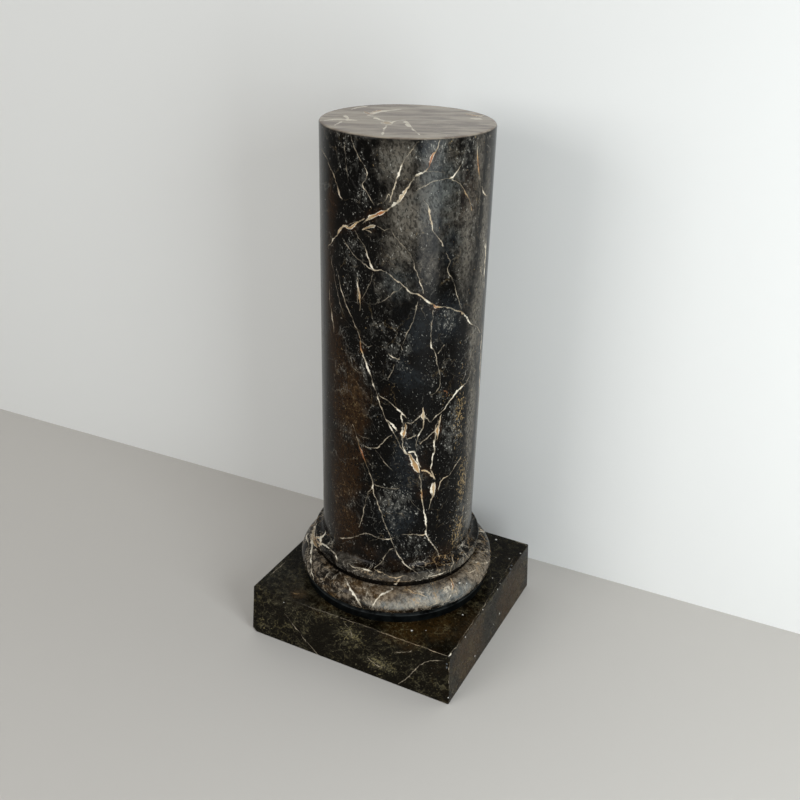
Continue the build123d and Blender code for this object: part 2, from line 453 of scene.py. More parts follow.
# The veins that the photograph shows, each a run of spots in its 800 by 800 frame:
# across, down, half width in mm and tone. Tone 0 is grey, 1 cream, 2 ochre and 3 burnt orange.
# The cream lines down the shaft's right edge are partly veins, partly a painted reflection of the room.
photoVeins = readRuns("""
mainUpper: 441 140 .6 1, 438 147 .9 1.2, 433.5 155 1.3 2.6, 431 161 1.6 3, 427.5 167 1.5 2.8,
  424.5 171 1.9 1, 419 174.5 1 1, 414 177 .7 1, 409 186 1 1.2, 404.5 192.5 2 1.4, 400 199 2 1.3,
  395 203.5 2.1 1, 389 208 1.2 1.1, 385 211 1.9 2, 381 213 2.8 3, 375.5 215 2.3 2.6, 370 218 2 1.6,
  365 221 1.1 1.2, 361 224 .6 1;
mainTail: 365 218.5 1 1.4, 361 220 1.1 1.4, 357 222 1.2 1.8, 354 226 1.6 2, 349 228 2 2.2,
  343.5 226 .9 1.4, 340 230 1.4 1.8, 337 235 1 1.3, 333.5 239 .9 1, 330.5 244 .8 1, 327 247 .5 1;
tailTwin: 358 221 .5 1, 353 222.5 .5 1, 346 226 .6 1, 341 228 .6 1.2;
ochreBlob: 362 230 .81 1, 366 229 2.56 2, 371 227.5 4.05 1.8, 375.5 225 1.89 1;
blobFoot: 366 231 1.35 1.4, 372 232.5 1.22 1.2;
fromBlob: 377 226 .6 1, 385 230.5 .6 1, 389.5 229 .6 1, 396 238 .5 .8, 406 249 .5 .7, 413 261 .5 .7,
  416 272 .5 .7;
dropBright: 414 266 .5 .7, 418.5 278 .8 1, 421.5 285 .6 .9, 424 294 .5 .8;
forkLeft: 389 203 .8 1, 391.5 194 .6 1, 395.5 182 .7 1, 398.5 172 .9 1, 403 163 .8 .9, 408 155 .6 .8,
  413 149 .6 .7, 419 141 .5 .6;
forkTwin: 391 203 .4 .7, 389 195 .5 .9, 386 200 .4 .6, 376 205 .5 .6;
forkRight: 415 191 .5 .8, 424 186.5 .6 1, 433 182 .6 1, 444 179.5 .6 1, 451 178 .8 1.2, 456 172 .6 .8,
  461 166 .5 .7, 465 159 .4 .6;
crossBar: 424 172 .6 1, 433 172 .5 .9, 445 173 .4 .6;
leftLong: 349.5 133 .7 1, 353 144 .7 1, 358 155 .5 .8, 364 166 .5 .7, 368 172.5 .9 1, 366 179 .4 .6,
  363 185 .6 .8, 367 193 .5 .7, 371 199 .6 .8, 374 206 .5 .8;
leftEdge: 320 148 .4 .6, 326 156 .5 .8, 330 167 .6 .9, 333.5 174 1.1 1.2, 336 183 1.2 1.4,
  339 193 .8 1.2, 343 200 .4 .8;
leftFaint: 345.5 142 .4 .4, 345 152 .4 .3, 346 166 .4 .4, 348 183 .4 .3;
rightDrop: 421 197 .5 .8, 425.5 203 .6 .9, 429 209 .9 1.1, 430.5 217 .8 1.4, 432 225 1 1.2,
  434 233 .5 .9, 439 238 .5 .9, 442 242 .6 1, 444 247 .7 1;
rightDropLow: 446 252 .6 .9, 448 257 .7 1, 450.5 261 .5 .9, 447.5 268 .5 .7, 451 277 .5 .8,
  455 288 .6 .8, 459 300 .5 .9, 461.5 309 .5 .7;
longSweep: 354.5 229 .5 .9, 359 238 .5 .9, 364 246 .6 1, 368 256 .9 1, 371 264 .8 1,
  374.6 270.5 1.1 1.2, 381 270 .8 1, 388 274 .6 .9, 394.5 279 .6 .8, 403 284.5 .5 .8, 409 291 .7 .9,
  413 293.5 .5 .9, 419 294.5 .8 1.4, 424 299 .9 1.2, 430 303 1 1.2, 435 306.5 1.3 2.8, 441 307 .7 1.2,
  449 307.5 .7 1, 456 310.5 .7 1, 461 312 .8 1.6, 466 317 1.4 1, 471 323 .8 1, 478 328 .5 .9,
  480.5 333 .5 .9;
sweepTwin: 342 238 .5 .7, 348 247 .5 .6, 355 256 .5 .6, 363 263 .5 .7, 373 270 .6 .8;
sweepLink: 372.5 272 .4 .8, 370.5 282 .4 .6, 365 293 .4 .6, 362 300 .3 .5;
sweepFaint: 403 287 .4 .6, 395 292 .4 .6, 385 300 .4 .6, 376 303 .3 .5;
rightEdgeLong: 477.5 141 .7 1, 477.5 150 .6 1, 478 161 1 2.4, 479 171 .8 2.2, 480 184 .5 .8,
  479.5 199 .5 .6, 479 215 .4 .5;
rightEdgeBranch: 481 186 .5 .8, 484 192 .6 1, 487 196 .6 1;
rightEdgeLow: 483.5 225 .4 .8, 484 240 .7 1, 486 252 .6 .9, 484 262 .5 .8, 481 268 .9 1.2,
  482.5 280 .5 1, 484.5 300 .5 .8, 484 330 .5 .8;
rightBrown: 452 179 .5 1, 461 185 .6 1.2, 466 194 .7 1.8, 470 203 .9 2.2, 472 212 .5 1.6;
leftSpine: 335.7 265 .4 .7, 341.6 290 .6 .9, 345.7 303 .6 .9, 353.5 321.6 .5 1, 358.8 335 .5 1.2,
  361 347 1 2.8, 363 354 .6 1.2, 366 362 .8 1, 368.5 370 1.2 1, 372 379 1 1, 375 389 .8 1,
  377.5 397 .6 1, 381 406 .5 .9, 384.5 417 .6 .9, 389 425 .7 .9, 394 434 .8 1, 400 446 .9 1,
  407 455 .8 1;
leftSpineTwin: 331 255 .3 .5, 334 274 .3 .5, 338 295 .4 .5, 345 318 .3 .5;
ochreStick: 357.5 276 .4 .6, 358.5 288 .8 1.2, 359 295 1.3 2, 359.5 302 1.2 1.8, 360 312 .4 1;
stickBorder: 357.8 287 .5 1, 357.3 296 .6 1, 358 305 .4 1;
leftShort: 329.5 281 .4 .8, 329.3 300 .9 1, 332 313 .6 1, 334.5 333 .4 .8;
backSlant: 418.5 301 .4 .6, 415 314 .5 .7, 411 325 .6 .9, 408.5 331 .7 1, 405 338 .5 .9, 402 346 .5 .8;
curlMark: 397 343 .6 .9, 400 346 .8 1, 403 351 .5 .8;
curlHook: 388 353 .4 .7, 393 357 .6 .9, 398 360 .6 .9, 400 357 .5 .8;
curlTail: 394.5 364 .4 .7, 392 371 .4 .7, 388 381 .3 .6;
spineTick: 361 341 .4 .6, 368 346 .4 .6, 373 346 .3 .5;
middleDrop: 434 309 .6 1, 432.5 318 .4 .7, 431 330 .4 .7, 431 345 .7 .9, 434 351 .6 .9,
  436.5 355.5 .5 .8, 437 364 .4 .6, 440 374 .4 .6, 439 388 .5 .7, 430 396 .3 .5;
middleBranch: 437 354.5 .5 .8, 441 350 .6 .9, 444.5 344.5 .7 .9;
nestLeft: 378 394.5 .6 .9, 384 398 .5 .8, 390 403 .7 .9, 395 407 .7 1, 399.5 411 1 1, 403.5 414.5 .8 1,
  407 418 .4 .8;
nestDrop: 401 412 .9 1, 401.8 419 .9 1, 402.3 424 1 1, 401.5 434 1.1 1, 402.5 443 .9 1, 404 449 .9 1,
  408 455 .8 1;
nestPatch: 404.5 423.5 1.6 2.15, 405 427 3.6 2.15, 404.3 432 2.8 2.15, 403.4 438 1.2 2.15;
nestPatchHigh: 403 424 .5 1, 407 423 .6 1, 410 423.5 .5 1.2;
quarrel: 408.5 453.5 1.4 1.6, 411 458 2.8 2.15, 414 463 3.2 2.15, 417 468 2.6 2.15, 419 473 1.4 1.6;
quarrelHead: 407.5 452.5 1 1, 411 452 1.8 1, 414.5 452 1.4 1, 416.5 458 1.5 1, 418.5 463 .9 1,
  421 468 .9 1;
patchTail: 418.5 473 1 1.2, 420.5 480 .8 1.1, 420.8 489 .9 1.2, 421.5 494 1 2.6, 422 501 .9 1.2,
  424 510 .8 1, 426 519 .9 1, 426 527 .7 1, 425.5 533 1.2 1, 429 540 .9 1, 432.5 545 1.2 1,
  436.5 550 1 1, 440 558 .7 1;
nestRight: 474.5 345 .4 .7, 468.6 362 .5 .7, 463 381 .4 .7;
nestRightArm: 472 366 .4 .6, 466 383 .6 .9, 457.5 391 .9 1, 454 396 .6 1, 449 402 .6 1, 444.5 409 .9 1,
  441 412 .7 1, 436 416.5 .7 1, 430 423 .5 .9;
lensRight: 441.5 413 .6 1, 440 420 1.2 1.4, 438 427 2.4 1.9, 438 433 2.2 2.15, 436.5 440 1.2 1.4;
lensRim: 438.5 419 .6 1, 435.5 426 .7 1, 435.5 434 .7 1, 435 440 .9 1, 434.5 446 1.1 1, 433.5 454 .9 1,
  432 463 .8 1, 431 470 .9 1;
lensLink: 431 470 .8 1.2, 433 475 1.3 1.3, 435 480 1.1 1.2;
patchLink: 420.5 470.5 .8 1.6, 424 470 .9 1.8, 428 471.5 1.2 1.7, 433 477 .8 1.2;
lowLens: 435 482 1.2 1.2, 434 488 2.4 1.7, 433.5 494 2 1.6, 431.5 499.5 .9 1.2, 430 505 .5 1,
  428.5 510 .3 .8;
lowLensRim: 433.5 482 .6 1, 431.8 488 .7 1, 431 496 .6 1;
nestStar: 423.5 406.5 .4 1, 423.3 411 1 1.4, 423 415.5 2.1 1.5, 423.5 420 1 1.2, 422.8 427 .7 1.4,
  420.5 430.5 1.4 1, 418.8 434 1.3 1, 417 440 .5 1, 416 452 .4 .8;
nestStarArm: 424 414 .5 1, 427 418 .6 .9, 430.5 423 .4 .8;
nestBarHigh: 408.5 424 .5 1, 413 423 .6 1, 418 418 .7 1, 421 415 .8 1;
nestBarLow: 406.5 439 .5 1, 412 437 .6 1, 417 434.5 .7 1;
nestWeb: 419.5 444 .8 1, 423 441 .6 1, 427 438.5 .5 .9, 431 434 .6 1, 436 430 .5 .9;
nestHook: 385 419 .9 1, 389 422 .9 1, 393 424.5 .8 1, 396 428 .9 1, 397.5 432 .4 .8;
leftFall: 352.5 424 .6 .9, 354.5 431 .8 1.4, 356.5 437 .6 1, 358.6 444 .6 2.2, 361 451 1 2.9,
  363.5 458 1.1 3, 366 464 .6 1.8, 369 471 .4 1, 372.5 482.5 .7 .9, 373 489 .9 1, 376 499 .6 .8,
  380 509 .7 .9, 383 519 .6 .8, 388 531 .5 .7, 392 541 .5 .8, 396 551 .6 .8, 404.5 563 .6 .8,
  413 570 .6 .9, 420 575 .5 .8;
leftArc: 356.5 437 .4 .8, 360 442.5 .4 .8, 364.5 446 .5 .8, 373 448.3 .5 .9, 378 446.5 .5 .8,
  382 443.5 .6 .9, 386 438.5 .5 .8, 393 434.5 .4 .7;
leftArcTwin: 357 434 .3 .5, 363 437 .3 .5, 370 438.5 .3 .5;
leftArcTail: 374 449 .4 .7, 382 459 .4 .6, 388 466 .4 .6, 393 471 .3 .4;
leftTwig: 372.6 488 .6 .9, 368.5 492 .5 .8, 366 500 .3 .5, 364 511 .7 1, 361.5 520 .7 1, 359 528 .4 .8;
leftDashes: 374 484 .4 .6, 381 487 .4 .6, 390 488.5 .4 .7, 401 488 .3 .6;
lowBar: 339.6 537.5 .5 1, 347 538 .6 1, 354 537 .7 .9, 359 535.5 .6 .9, 364 533.5 .7 .9, 370 534.5 .8 1,
  376 537.5 .6 .9, 382 539 .6 .9, 389 539 .6 .8, 395 537.5 .5 .8;
lowBarRight: 401 534.5 .6 1, 411 534.5 .6 1, 421 535 .9 1.2, 426 534 .9 1.4;
lowFaint: 409 498 .3 .4, 415 506 .3 .4, 421 511 .3 .4;
lowRightSlant: 462 455 .4 .8, 457 463 .5 .9, 452 471 .4 .9, 448 476 .5 1.2, 442 480 .6 1.2,
  440 485 .7 1.2, 438 491 .5 1;
redMark: 444 390 .5 2.8, 447 393 .8 2.9, 446 397 .5 2.8;
edgeCream: 482.2 322 .9 1, 481 345 1.4 1.2, 480 370 1.6 1.2, 478.8 395 1.3 1.2, 477.4 418 .8 1;
edgeCreamHigh: 486.4 240 .8 1, 485.6 256 1.3 1.2, 484.4 270 1.1 1.1, 484.2 290 .8 1;
edgeOchre: 464 505 .5 1.6, 461 520 .6 1.7, 458 533 .4 1.5;
edgeOchreHigh: 468 450 .4 1.2, 466 470 .4 1.2, 465 490 .3 1.2;
footLeft: 394 548 .7 1, 389 550.5 .6 .9, 386 553.5 .5 .8, 383.5 559 .5 .9, 379 564 .7 1, 374 568.5 .9 1;
topStar: 381 110 3.24 2.4, 374 112.5 6.48 2.8, 369 113.5 7.56 2.9, 365 111.5 3.84 2;
topStarLong: 371 113.5 4.68 1, 378 112 3.24 1, 385 110.8 3.24 1, 393 110 2.4 .9, 402 109 1.8 .7;
topStarFoot: 368 115 3.24 1, 374 117 2.88 1;
topChain: 372 115.5 3.24 1, 377 118.5 4.08 1, 383 120.5 3.24 1, 387 122.5 6.48 1.6, 390 124.5 4.08 1;
topChainEnd: 386.5 125.5 2.16 1, 384 129 1.44 1, 382 132.5 2.64 1, 381.5 135 2.52 1;
topDrop: 405 121 3.36 1, 408.5 124.5 2.64 1, 412 128.5 1.44 1, 416 132.5 1.8 1, 421.5 135.5 1.44 1;
topLeftLine: 323 121 2.4 .9, 331 119.7 2.88 1, 340 119.3 3.84 1, 347 119.6 3.84 1, 357.5 120.5 1.8 .8;
topLeftTick: 345 115 2.52 1, 346.5 117 2.64 1, 348 119.5 2.16 1;
topLeftTick2: 333 126 1.44 .9, 338 123.5 1.8 1, 342 121 1.44 .9;
topRight: 466 113.5 2.88 2, 472 115 4.08 2.2, 477 116 4.68 2, 484 115.5 2.4 1;
topRightLow: 470 118.5 2.4 1, 476 118.5 3.24 1, 482 119.5 2.4 1;
topMiddleLine: 389 123 1.8 .9, 398 120.5 1.8 .7, 408 120 1.44 .5;
topFarLine: 350 110 1.8 .9, 358 107.5 1.8 .8, 368 106 1.44 .6;
torusStar: 316.5 523 1.01 1, 314.5 528 1.45 1.1, 313 534 2.32 1.4, 316 540 2.9 2.6, 319 543 1.59 1.6,
  323 544.5 2.03 1, 329.5 548 1.01 1;
torusStarPatch: 309.5 536 .8 1, 313 540 2.6 2, 316.5 545 3 1.7, 320 550 1.6 1.2, 322.5 555 .7 1;
torusStarWeb: 320 533 .6 1, 321.5 539 1.3 1, 319.5 546 1.6 1.4, 314.5 551 .8 1;
torusStarRim: 308 531 .6 1, 306.5 538 1 1, 308.5 545 .9 1, 308 553 .6 1;
torusStarUp: 306.5 535 1.16 1, 310 534 1.3 1.1, 314 536.5 2.03 1.6, 319 537.5 1.74 1.4, 324 535 1.59 1,
  325.5 531 .72 1;
torusArm: 312.5 538 1.45 1.2, 312 546 1.89 1, 311 555 1.01 1, 310.8 563 1.59 1, 311.5 571 1.3 1,
  314 579 .72 .9;
torusArmTwig: 311 549 .4 1, 316 551 .6 1.1, 321 552 .4 1;
starCross: 324 545 .9 1, 330 549 .6 1, 335.7 555.5 1.1 1, 337.6 562 .7 1;
torusSlant: 342 572 .5 1, 345.5 579 .6 1, 349 586 1.1 1, 352 591.5 1.2 1, 355 596 1.4 1, 358.5 601 .8 1,
  362 607 .6 1;
torusFork: 353.5 593 .6 1, 359 594.5 .4 1;
torusBolt: 400 579 1.01 1.4, 397 584 1.3 1.3, 393.5 588 2.17 1, 388.5 590.5 2.46 1, 384 593 1.74 1,
  379 597 1.16 1, 374.5 602 1.3 1, 371 608 1.3 1;
torusMark: 407 587.5 .72 1.4, 410 590.5 1.01 1.5, 413 593.5 1.74 2.4, 418 593.5 1.3 1.8,
  427.5 597 .72 1.1;
torusMarkDrop: 414 595 .5 1.1, 416.5 600 .4 1;
torusBlob: 450.5 577.5 .8 1, 452 582 1.5 2.4, 453 586 1.6 2.6, 451.5 592 1 1, 449.5 597 1.2 1,
  445 601 .7 1, 436 604 .5 1, 422 609 .5 1;
torusRight: 470 563.5 .6 1, 476 562 .7 1, 482 563 .6 1, 488.5 562 1.5 1;
torusRightHigh: 478 541 .4 1, 484 544.5 .6 1, 489 547.5 .5 .9;
torusRightMid: 479 552 .4 1.2, 484 551.5 .5 1.2, 490 550.5 .4 1;
torusRightTick: 462 550 .5 1, 467 556 .6 1, 472 560 .5 1;
torusRightLow: 458 571 .5 1.2, 466 573 .5 1.2, 475 570 .5 1.1, 484 566 .4 1;
torusRightFar: 482 530 .4 .9, 486 537 .5 1, 490.5 544 .4 .9;
collarStreak: 347 563 .5 1, 354 567 .6 1, 361 568.5 1.3 1, 368 570 1.9 1, 372.5 572 1.1 1;
collarCream: 374 568.5 .5 1.2, 383 573.5 .9 1.5, 390 577 1.2 1.7, 397 577.5 1.1 1.4, 404 576 .7 1.3,
  412 578.5 .8 1.4;
collarOchre: 394 581 .4 1.8, 401 582 .6 1.8, 408 581 .4 1.6;
collarRight: 452 556 .6 1, 453 563 .8 1, 450.5 569 .7 1.2, 451 575 .6 1;
collarRightNet: 459 563 .4 1, 463 569 .5 1.1, 470 566 .4 1;
collarGrey: 425 577 .6 .7, 436 575 .8 .8, 447 571 .6 .8;
""")

# Veins, lighter arrises and scraped lines on the plinth, in the same manner
plinthVeins = readRuns("""
frontLong: 284.5 613 .4 .8, 291 622 .5 .9, 299 632 .6 .9, 306 641 .5 .9, 313 649 .6 1, 319 656 .6 1;
frontSlant: 398 684 .4 .8, 408 677.5 .6 .9, 414 671 .5 .9, 420 665.5 .6 .9, 428 661.5 .5 .8,
  436 660.5 .5 .9, 444 661.5 .4 .8;
frontBar: 394 653 .5 1, 400 652 .5 1, 407 652.5 .6 1.1, 412 650.5 .4 1;
frontArrisRight: 340 617.5 .3 1.2, 365 626 .4 1.3, 390 635.5 .5 1.4, 415 644.3 .6 1.5, 436 652 .5 1.3,
  448 656.2 .7 1;
frontArrisMiddle: 300 603.5 .2 .2, 318 609.8 .3 .5, 338 616.8 .3 .7;
footArris: 424 698 .4 1, 434 700.5 .6 1, 447 703.5 .7 1;
sideArrisKnock: 449 656.5 1 1, 452 652 .7 1, 456 646.5 .6 .9;
sideArris: 456 646.5 .3 .6, 474 620 .3 .5, 497 585 .3 .5, 515 556 .4 .7;
cornerUpright: 449.5 662 .5 .8, 449.3 674 .4 .7, 449 690 .3 .6;
farCorner: 515 541 .5 .9, 522 543 .5 .9, 527.5 546 .5 .9;
farUpright: 528 553 .4 .7, 527.5 568 .3 .6, 527 584 .3 .6;
leftScuff: 270 575 .5 .5, 276 570 .6 .6, 285 562 .4 .5;
topOchre: 290 592 .6 1.8, 297 594 .9 2.2, 304 593.5 .6 1.9;
scrapeUpper: 344 622 .3 1, 350 630 .5 1.1, 353 638 .3 1;
scrapeLower: 367 657 .4 1, 375 664 .5 1.1, 383 668 .4 1;
""")

# White paint dots and grey chips: across, down, radius in mm
paintSpots = readRuns("""
dots: 411.7 630.5 1.5, 426 630.5 1.5, 496 539.5 1.9, 520.5 553.4 1.6, 496 557.6 1.5, 509.5 558.6 1.6,
  492.5 578 1.5, 500 583.5 .9, 497.5 589.5 1.4, 483 609.7 1.6, 499.5 613.7 1.5, 493.5 624.5 1.5,
  462.7 614.8 1.9, 465.5 637.2 1.7, 475 656 1.5, 448.5 698 1.7, 435 582.8 1.7, 459.5 583 1.5,
  467 583.5 1.3, 431 668 1, 432.5 672 .8, 344 583 .8, 284 602.5 .9;
chips: 446.8 664 1.9, 446.6 667.5 1.8, 511.5 565.5 2, 510.8 569 2.4, 510 572.5 2;
""")
print("veins listed:", len(photoVeins) + len(plinthVeins))

# Areas of the ground: across, down, reach across in mm, reach up and down in mm, strength
# Some of these areas are painted reflections: the mist down the shaft's right edge, over the upright strip
# right of its middle, on the upper middle and across the top face, and the mist, cool and fleck areas along
# the torus's lower front, a painted bluish-white reflection of the floor.
groundAreas = readRuns("""
warm: 330 215 14 60 .8, 328 280 16 70 .9, 335 350 26 60 1, 345 400 40 70 1, 342 470 34 80 1,
  345 525 32 50 1, 352 565 40 20 .6, 405 215 24 26 .5, 420 470 20 40 .5, 330 600 70 30 .4,
  405 628 34 20 1, 440 628 30 20 .9, 470 210 20 60 .5, 400 560 150 26 .45, 300 594 14 10 .8,
  395 592 90 30 .6, 400 587 100 10 1, 470 650 60 60 .95, 512 600 80 60 .95;
cool: 441 190 34 60 .9, 436 150 26 26 1, 446 322 30 34 1, 418 330 20 40 .7, 400 285 34 40 .6,
  385 180 30 40 .3, 405 470 24 60 .9, 398 520 30 40 .9, 410 380 30 40 .7, 430 600 60 14 1,
  460 595 40 16 .8, 400 606 60 8 1, 275 570 40 20 .6, 500 560 30 20 .5, 385 555 40 16 .6,
  450 250 20 50 .6;
ochre: 460 410 14 60 1.15, 462 480 14 50 1.3, 458 530 20 40 1.25, 450 560 26 16 .7, 344 400 22 70 .4,
  370 226 12 12 .5, 350 634 26 20 1.1, 378 664 28 18 1.1, 262 622 14 20 .8, 322 613 18 10 .6,
  424 678 20 14 .4, 405 629 30 12 .7, 446 627 14 10 .7, 445 395 12 18 .5, 485 555 30 24 .6,
  318 545 26 20 .5, 447 232 10 14 .3, 420 236 12 18 .4;
fleck: 350 150 34 50 .55, 362 190 22 40 .6, 433 148 26 22 .8, 466 155 24 40 .7, 352 262 24 50 .6,
  383 330 30 26 .6, 446 322 20 24 .8, 398 352 22 30 .75, 354 385 34 60 .85, 350 430 30 40 .8,
  440 385 22 50 .5, 452 430 20 60 .85, 395 505 30 40 .9, 412 440 26 50 .5, 410 545 36 24 .7,
  432 555 24 24 .6, 468 205 24 60 .5, 385 255 26 30 .35, 405 225 24 36 .5, 345 495 34 60 .75,
  332 530 24 34 .5, 460 520 20 50 .85, 400 592 130 22 .5, 415 604 75 9 1.25, 285 602 30 20 .95,
  328 614 36 14 .9, 351 636 28 20 1.15, 378 664 28 18 1.1, 280 568 40 20 .85, 476 545 20 30 .6,
  316 560 20 30 .5, 441 190 26 40 .4;
mist: 398 160 28 36 1, 406 216 30 46 1.1, 398 250 26 40 .8, 428 200 26 70 .9, 446 190 34 90 .7,
  428 262 34 44 .55, 395 285 34 34 .5, 468 240 22 90 .85, 474 330 16 90 1, 471 420 16 90 1.2,
  469 500 16 70 1.2, 480 160 16 60 .8, 483 260 14 160 1.2, 476 440 12 140 1.3, 404 118 130 10 .9,
  400 594 130 24 .62, 412 604 75 9 1.35, 445 597 36 9 1.2, 475 570 60 30 1.05, 400 578 110 9 .85,
  345 560 30 9 .7, 460 563 40 10 .8, 440 574 50 12 .7, 300 588 60 26 .6, 318 560 40 40 .55,
  360 595 60 20 .5;
""")


def smoothRun(points, step):
    # a curve through the points, each stretch a cubic that leaves and arrives along its neighbours
    points = np.asarray(points, float)
    padded = np.vstack([2 * points[0] - points[1], points, 2 * points[-1] - points[-2]])
    runs = []
    for index in range(1, len(padded) - 2):
        before, start, end, after = padded[index - 1:index + 3]
        count = max(2, int(np.linalg.norm((end - start)[:2]) / step))
        share = np.linspace(0, 1, count, endpoint=False)[:, None]
        runs.append(0.5 * (2 * start + (end - before) * share
                           + (2 * before - 5 * start + 4 * end - after) * share ** 2
                           + (3 * start - before - 3 * end + after) * share ** 3))
    return np.vstack(runs + [points[-1:]])


# How the brush moved along a vein
brush = {
    "columnSeed": 7,
    "plinthSeed": 8,
    "spotsApart": 1.6,  # in the photograph's frame
    "knotsApart": 4,  # width and tone change by chance at every fourth spot
    "swell": 0.22,
    "dimming": 0.2,
    "leastDim": 0.3,
    "mostDim": 1.1,
    "toneLevel": 0.86,
    "paleTone": 1.15,  # tones under this one change along the vein
    "taperShare": 0.12,
    "endWidth": 0.6,
    "leastWidth": 0.22,
    "wander": 0.3,
    "wanderSpots": 5,
}


def photoVeinLines(veins, seed):
    # each vein as rows of x, y, z, half width in mm and tone, laid on the column's outside; its
    # width and tone change a little along it by chance, and it thins towards both ends
    chance = np.random.default_rng(seed)
    knotsApart, wanderSpots = brush["knotsApart"], brush["wanderSpots"]
    lines = []
    for spots in veins.values():
        run = smoothRun(spots, brush["spotsApart"])
        count = len(run)
        share = np.linspace(0, 1, count)
        knots = np.arange(0, count + knotsApart, knotsApart)
        swell = np.interp(np.arange(count), knots, chance.normal(0, 1, len(knots)))
        dim = np.interp(np.arange(count), knots, chance.normal(0, 1, len(knots)))
        drift = chance.normal(0, 1, count + wanderSpots - 1)
        wander = np.convolve(drift, np.ones(wanderSpots) / wanderSpots, "valid")
        taper = np.clip(np.minimum(share, 1 - share) / brush["taperShare"], 0, 1)
        thinned = brush["endWidth"] + (1 - brush["endWidth"]) * taper
        run[:, 2] = np.clip(run[:, 2] * (1 + brush["swell"] * swell) * thinned, brush["leastWidth"], None)
        level = np.clip(brush["toneLevel"] + brush["dimming"] * dim, brush["leastDim"], brush["mostDim"])
        run[:, 3] = np.where(run[:, 3] < brush["paleTone"], run[:, 3] * level, run[:, 3])
        run[1:-1, 0] += brush["wander"] * wander[1:-1]
        places, met = castSpots(run[:, :2])
        if met.sum() > 1:
            lines.append(np.column_stack([places[met], run[met, 2:4]]))
    return lines


# Veins on the side that the photograph doesn't show, grown by a fixed chance in the same manner
hiddenGrowth = {
    "seed": 41,
    "mainCount": 11,
    "mostLines": 70,
    "startDegrees": 30,
    "endDegrees": 204,
    "startDrop": 0.42,
    "rimGap": 0.003,
    "stepLength": 0.011,
    "stepCounts": (10, 46),
    "smoothStep": 0.0035,
    "widths": (0.5, 1.2),
    "leastWidth": 0.4,
    "narrowing": (0.93, 1.05),
    "swelling": 0.9,
    "swellsAbove": 0.8,
    "ochreAbove": 2.1,
    "ochreTone": 1.6,
    "tones": (0.7, 1.15),
    "headings": (-2.2, -0.9),
    "turning": 0.24,
    "pullDown": 0.07,
    "straightDown": -1.57,
    "branchChance": 0.085,
    "branchDepth": 3,
    "branchLean": (0.5, 1.1),
    "branchWidth": 0.75,
    "branchTone": 0.85,
    "torusCount": 16,
    "torusPoints": 14,
    "torusShares": (0.03, 0.97),
    "torusLean": (-0.22, 0.22),
    "torusHeads": (55, 88),  # degrees up from the nose
    "torusFeet": (-50, 20),
    "torusWander": 0.006,
    "torusWidths": (0.4, 1.1),
    "torusSwell": 0.5,
    "torusTones": (0.8, 1.7),
}


def grownAngle(share):
    # the angle at a share of the hidden side
    start, end = hiddenGrowth["startDegrees"], hiddenGrowth["endDegrees"]
    return math.radians(start + (end - start) * share)


def grownVeinLines():
    # a vein walks down the shaft in short steps, turns a little at each one and sometimes forks
    grow = hiddenGrowth
    chance = np.random.default_rng(grow["seed"])
    radius, step = column["shaftRadius"], grow["stepLength"]
    low, high = column["shaftBottom"], column["height"]
    walks = []
    for index in range(grow["mainCount"]):
        angle = grownAngle((index + chance.uniform(0.1, 0.9)) / grow["mainCount"])
        walks.append((angle * radius, high - chance.uniform(0, grow["startDrop"]),
                      chance.uniform(*grow["headings"]), chance.uniform(*grow["widths"]),
                      chance.uniform(*grow["tones"]), 0))
    lines = []
    while walks and len(lines) < grow["mostLines"]:
        across, level, heading, width, tone, depth = walks.pop(0)
        rows = []
        for count in range(int(chance.uniform(*grow["stepCounts"]) / (1 + depth))):
            if level < low or level > high - grow["rimGap"]:
                break
            swell = 1 + grow["swelling"] * max(0, chance.normal()) * (width > grow["swellsAbove"])
            ochre = grow["ochreTone"] * (swell > grow["ochreAbove"])
            rows.append((across, level, width * swell, tone + ochre))
            turn = chance.normal(0, grow["turning"])
            heading += turn + grow["pullDown"] * (grow["straightDown"] - heading)
            across += step * math.cos(heading)
            level += step * math.sin(heading)
            if not grow["startDegrees"] < math.degrees(across / radius) < grow["endDegrees"]:
                heading = math.pi - heading
                across += 2 * step * math.cos(heading)
            width = max(grow["leastWidth"], width * chance.uniform(*grow["narrowing"]))
            if chance.uniform() < grow["branchChance"] and depth < grow["branchDepth"]:
                forked = heading + chance.choice([-1, 1]) * chance.uniform(*grow["branchLean"])
                walks.append((across, level, forked, width * grow["branchWidth"],
                              tone * grow["branchTone"], depth + 1))
        if len(rows) > 2:
            run = smoothRun(rows, grow["smoothStep"])
            angles = run[:, 0] / radius
            lines.append(np.column_stack([radius * np.cos(angles), radius * np.sin(angles), run[:, 1:]]))
    return lines


def grownTorusLines():
    # veins over the hidden part of the torus, each from the groove down round the nose
    grow = hiddenGrowth
    chance = np.random.default_rng(grow["seed"] + 1)
    bulge = (column["torusTop"] - column["torusBottom"]) / 2
    middle = column["torusRadius"] - bulge
    count = grow["torusPoints"]
    lines = []
    for index in range(grow["torusCount"]):
        angle = grownAngle(chance.uniform(*grow["torusShares"]))
        lean = chance.uniform(*grow["torusLean"])
        head = math.radians(chance.uniform(*grow["torusHeads"]))
        foot = math.radians(chance.uniform(*grow["torusFeet"]))
        bends = np.linspace(head, foot, count)
        wander = np.cumsum(chance.normal(0, grow["torusWander"], count))
        angles = angle + lean * np.linspace(0, 1, count) + wander
        reach = middle + bulge * np.cos(bends)
        width = chance.uniform(*grow["torusWidths"]) * (1 + grow["torusSwell"] * chance.uniform(0, 1, count))
        lines.append(np.column_stack([reach * np.cos(angles), reach * np.sin(angles),
                                      column["torusBottom"] + bulge + bulge * np.sin(bends),
                                      width, np.full(count, chance.uniform(*grow["torusTones"]))]))
    return lines


columnLines = photoVeinLines(photoVeins, brush["columnSeed"])
columnLines += grownVeinLines() + grownTorusLines()
plinthLines = photoVeinLines(plinthVeins, brush["plinthSeed"])
print("vein lines:", len(columnLines), len(plinthLines))

